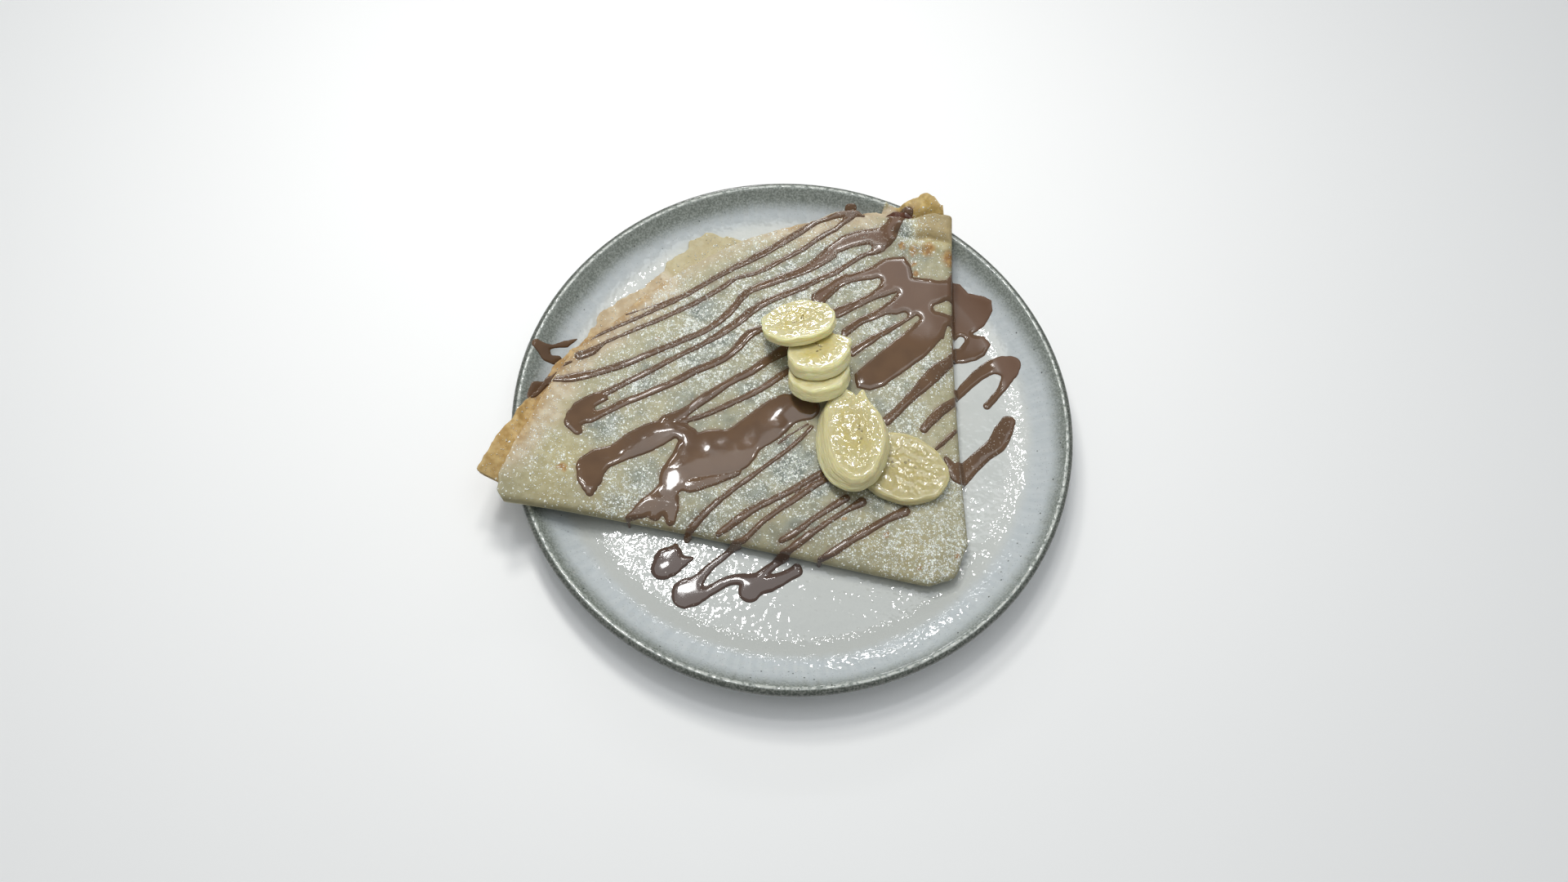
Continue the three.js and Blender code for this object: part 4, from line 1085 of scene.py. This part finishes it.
def place_camera():
    """The photo's camera: it looks down on the plate from the near side, slightly rolled."""
    elevation, roll = math.radians(66.1), math.radians(6.58)
    target, distance = Vector((-3.3, -13.4, 17.0)), 480.0
    back = Vector((0, -math.cos(elevation), math.sin(elevation)))
    right = Vector((1, 0, 0))
    up = back.cross(right)
    across = right * math.cos(roll) + up * math.sin(roll)
    upward = up * math.cos(roll) - right * math.sin(roll)
    camera = bpy.data.objects.new("camera", bpy.data.cameras.new("camera"))
    camera.data.sensor_width = 36
    camera.data.sensor_fit = "HORIZONTAL"
    camera.data.lens = 24.91
    camera.data.clip_start = 0.01
    spot = (target + back * distance) * MM + Vector(AXIS)
    camera.matrix_world = Matrix.Translation(spot) @ Matrix((across, upward, back)).transposed().to_4x4()
    bpy.context.scene.collection.objects.link(camera)
    bpy.context.scene.camera = camera


def add_light(name, spot, aim, width, length, power, colour=(1, 1, 1), glint=True, shade=True):
    """Rectangular lamp that aims at a place. It may be left out of glints or out of plain shading."""
    light = bpy.data.lights.new(name, "AREA")
    light.shape = "RECTANGLE"
    light.size, light.size_y = width * MM, length * MM
    light.energy, light.color = power, colour
    lamp = bpy.data.objects.new(name, light)
    direction = (Vector(aim) - Vector(spot)).normalized()
    lamp.rotation_euler = direction.to_track_quat("-Z", "Y").to_euler()
    lamp.location = Vector(spot) * MM + Vector(AXIS)
    lamp.visible_glossy = glint
    lamp.visible_diffuse = shade
    bpy.context.scene.collection.objects.link(lamp)


# Lamps that only glint: place, width, length and power
GLINT_LAMPS = [
    ("lamp_curls", (-400, 610, 1400), 44, 26, 0.2),
    ("lamp_left", (-266, 598, 1400), 90, 40, 0.7),
    ("lamp_middle", (0, 668, 1400), 70, 40, 0.55),
    ("lamp_wall", (400, 330, 1400), 90, 60, 0.8),
    ("lamp_fruit", (-386, 657, 1060), 110, 80, 0.8),
    ("lamp_stack", (-320, 1255, 380), 280, 110, 2.0),
]


def light_scene():
    """Soft fill, a soft key from the far left and the small lamps that glint in the sauce and glaze."""
    world = bpy.data.worlds.new("studio")
    world.use_nodes = True
    background = world.node_tree.nodes["Background"]
    background.inputs["Color"].default_value = (0.96, 0.99, 1.0, 1)
    background.inputs["Strength"].default_value = 0.29
    bpy.context.scene.world = world
    bpy.context.scene.view_settings.view_transform = "Standard"
    centre = (0, 0, 10)
    add_light("key_far", (-150, 250, 480), centre, 80, 80, 0.80, (1.0, 0.99, 0.95), glint=False)
    add_light("key_near", (-70, 170, 520), centre, 80, 80, 0.62, (1.0, 0.99, 0.95), glint=False)
    add_light("ceiling_panel", (0, 125, 1400), (0, 125, 0), 1400, 850, 5.2, (0.93, 0.97, 1.0))
    add_light("lamp_glaze", (-200, 345, 1400), centre, 170, 130, 2.2)
    add_light("lamp_pool", (-190, 560, 1400), centre, 60, 30, 0.35)
    add_light("far_strip", (-300, 2300, 1300), centre, 2600, 26, 4.4, (0.97, 0.98, 1.0))
    for name, spot, width, length, power in GLINT_LAMPS:
        add_light(name, spot, centre, width, length, power, shade=False)


def make_floor(material):
    half = 4000.0
    corners = [(-half, -half, 0), (half, -half, 0), (half, half, 0), (-half, half, 0)]
    floor = add_mesh("floor", corners, [(0, 1, 2, 3)], material)


def settle(piece, slot, *nodes):
    """Puts a piece on its body and in place of its nodes; its material slot is not used."""
    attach(piece, "root")
    if nodes:
        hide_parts(*nodes)


place_camera()
light_scene()
make_floor(floor_material())
settle(make_plate(glaze_material()), "glazed_stoneware", "plate")
sauce, sauce_depth, sauce_height, sauce_dust = make_sauce(sauce_material())
settle(make_crepe(crepe_material(), sauce_depth), "crepe", "crepe")
settle(sauce, "hazelnut_spread", "crepe", "plate")
settle(make_spread(spread_material()), "hazelnut_spread", "hazelnut_spread")
flesh = banana_material()
for spec in SLICES:
    settle(make_slice(spec, flesh), "banana", f"banana_slice_{spec['number']}")
settle(make_sugar(sugar_material(), sauce_depth, sauce_height, sauce_dust), "crepe")
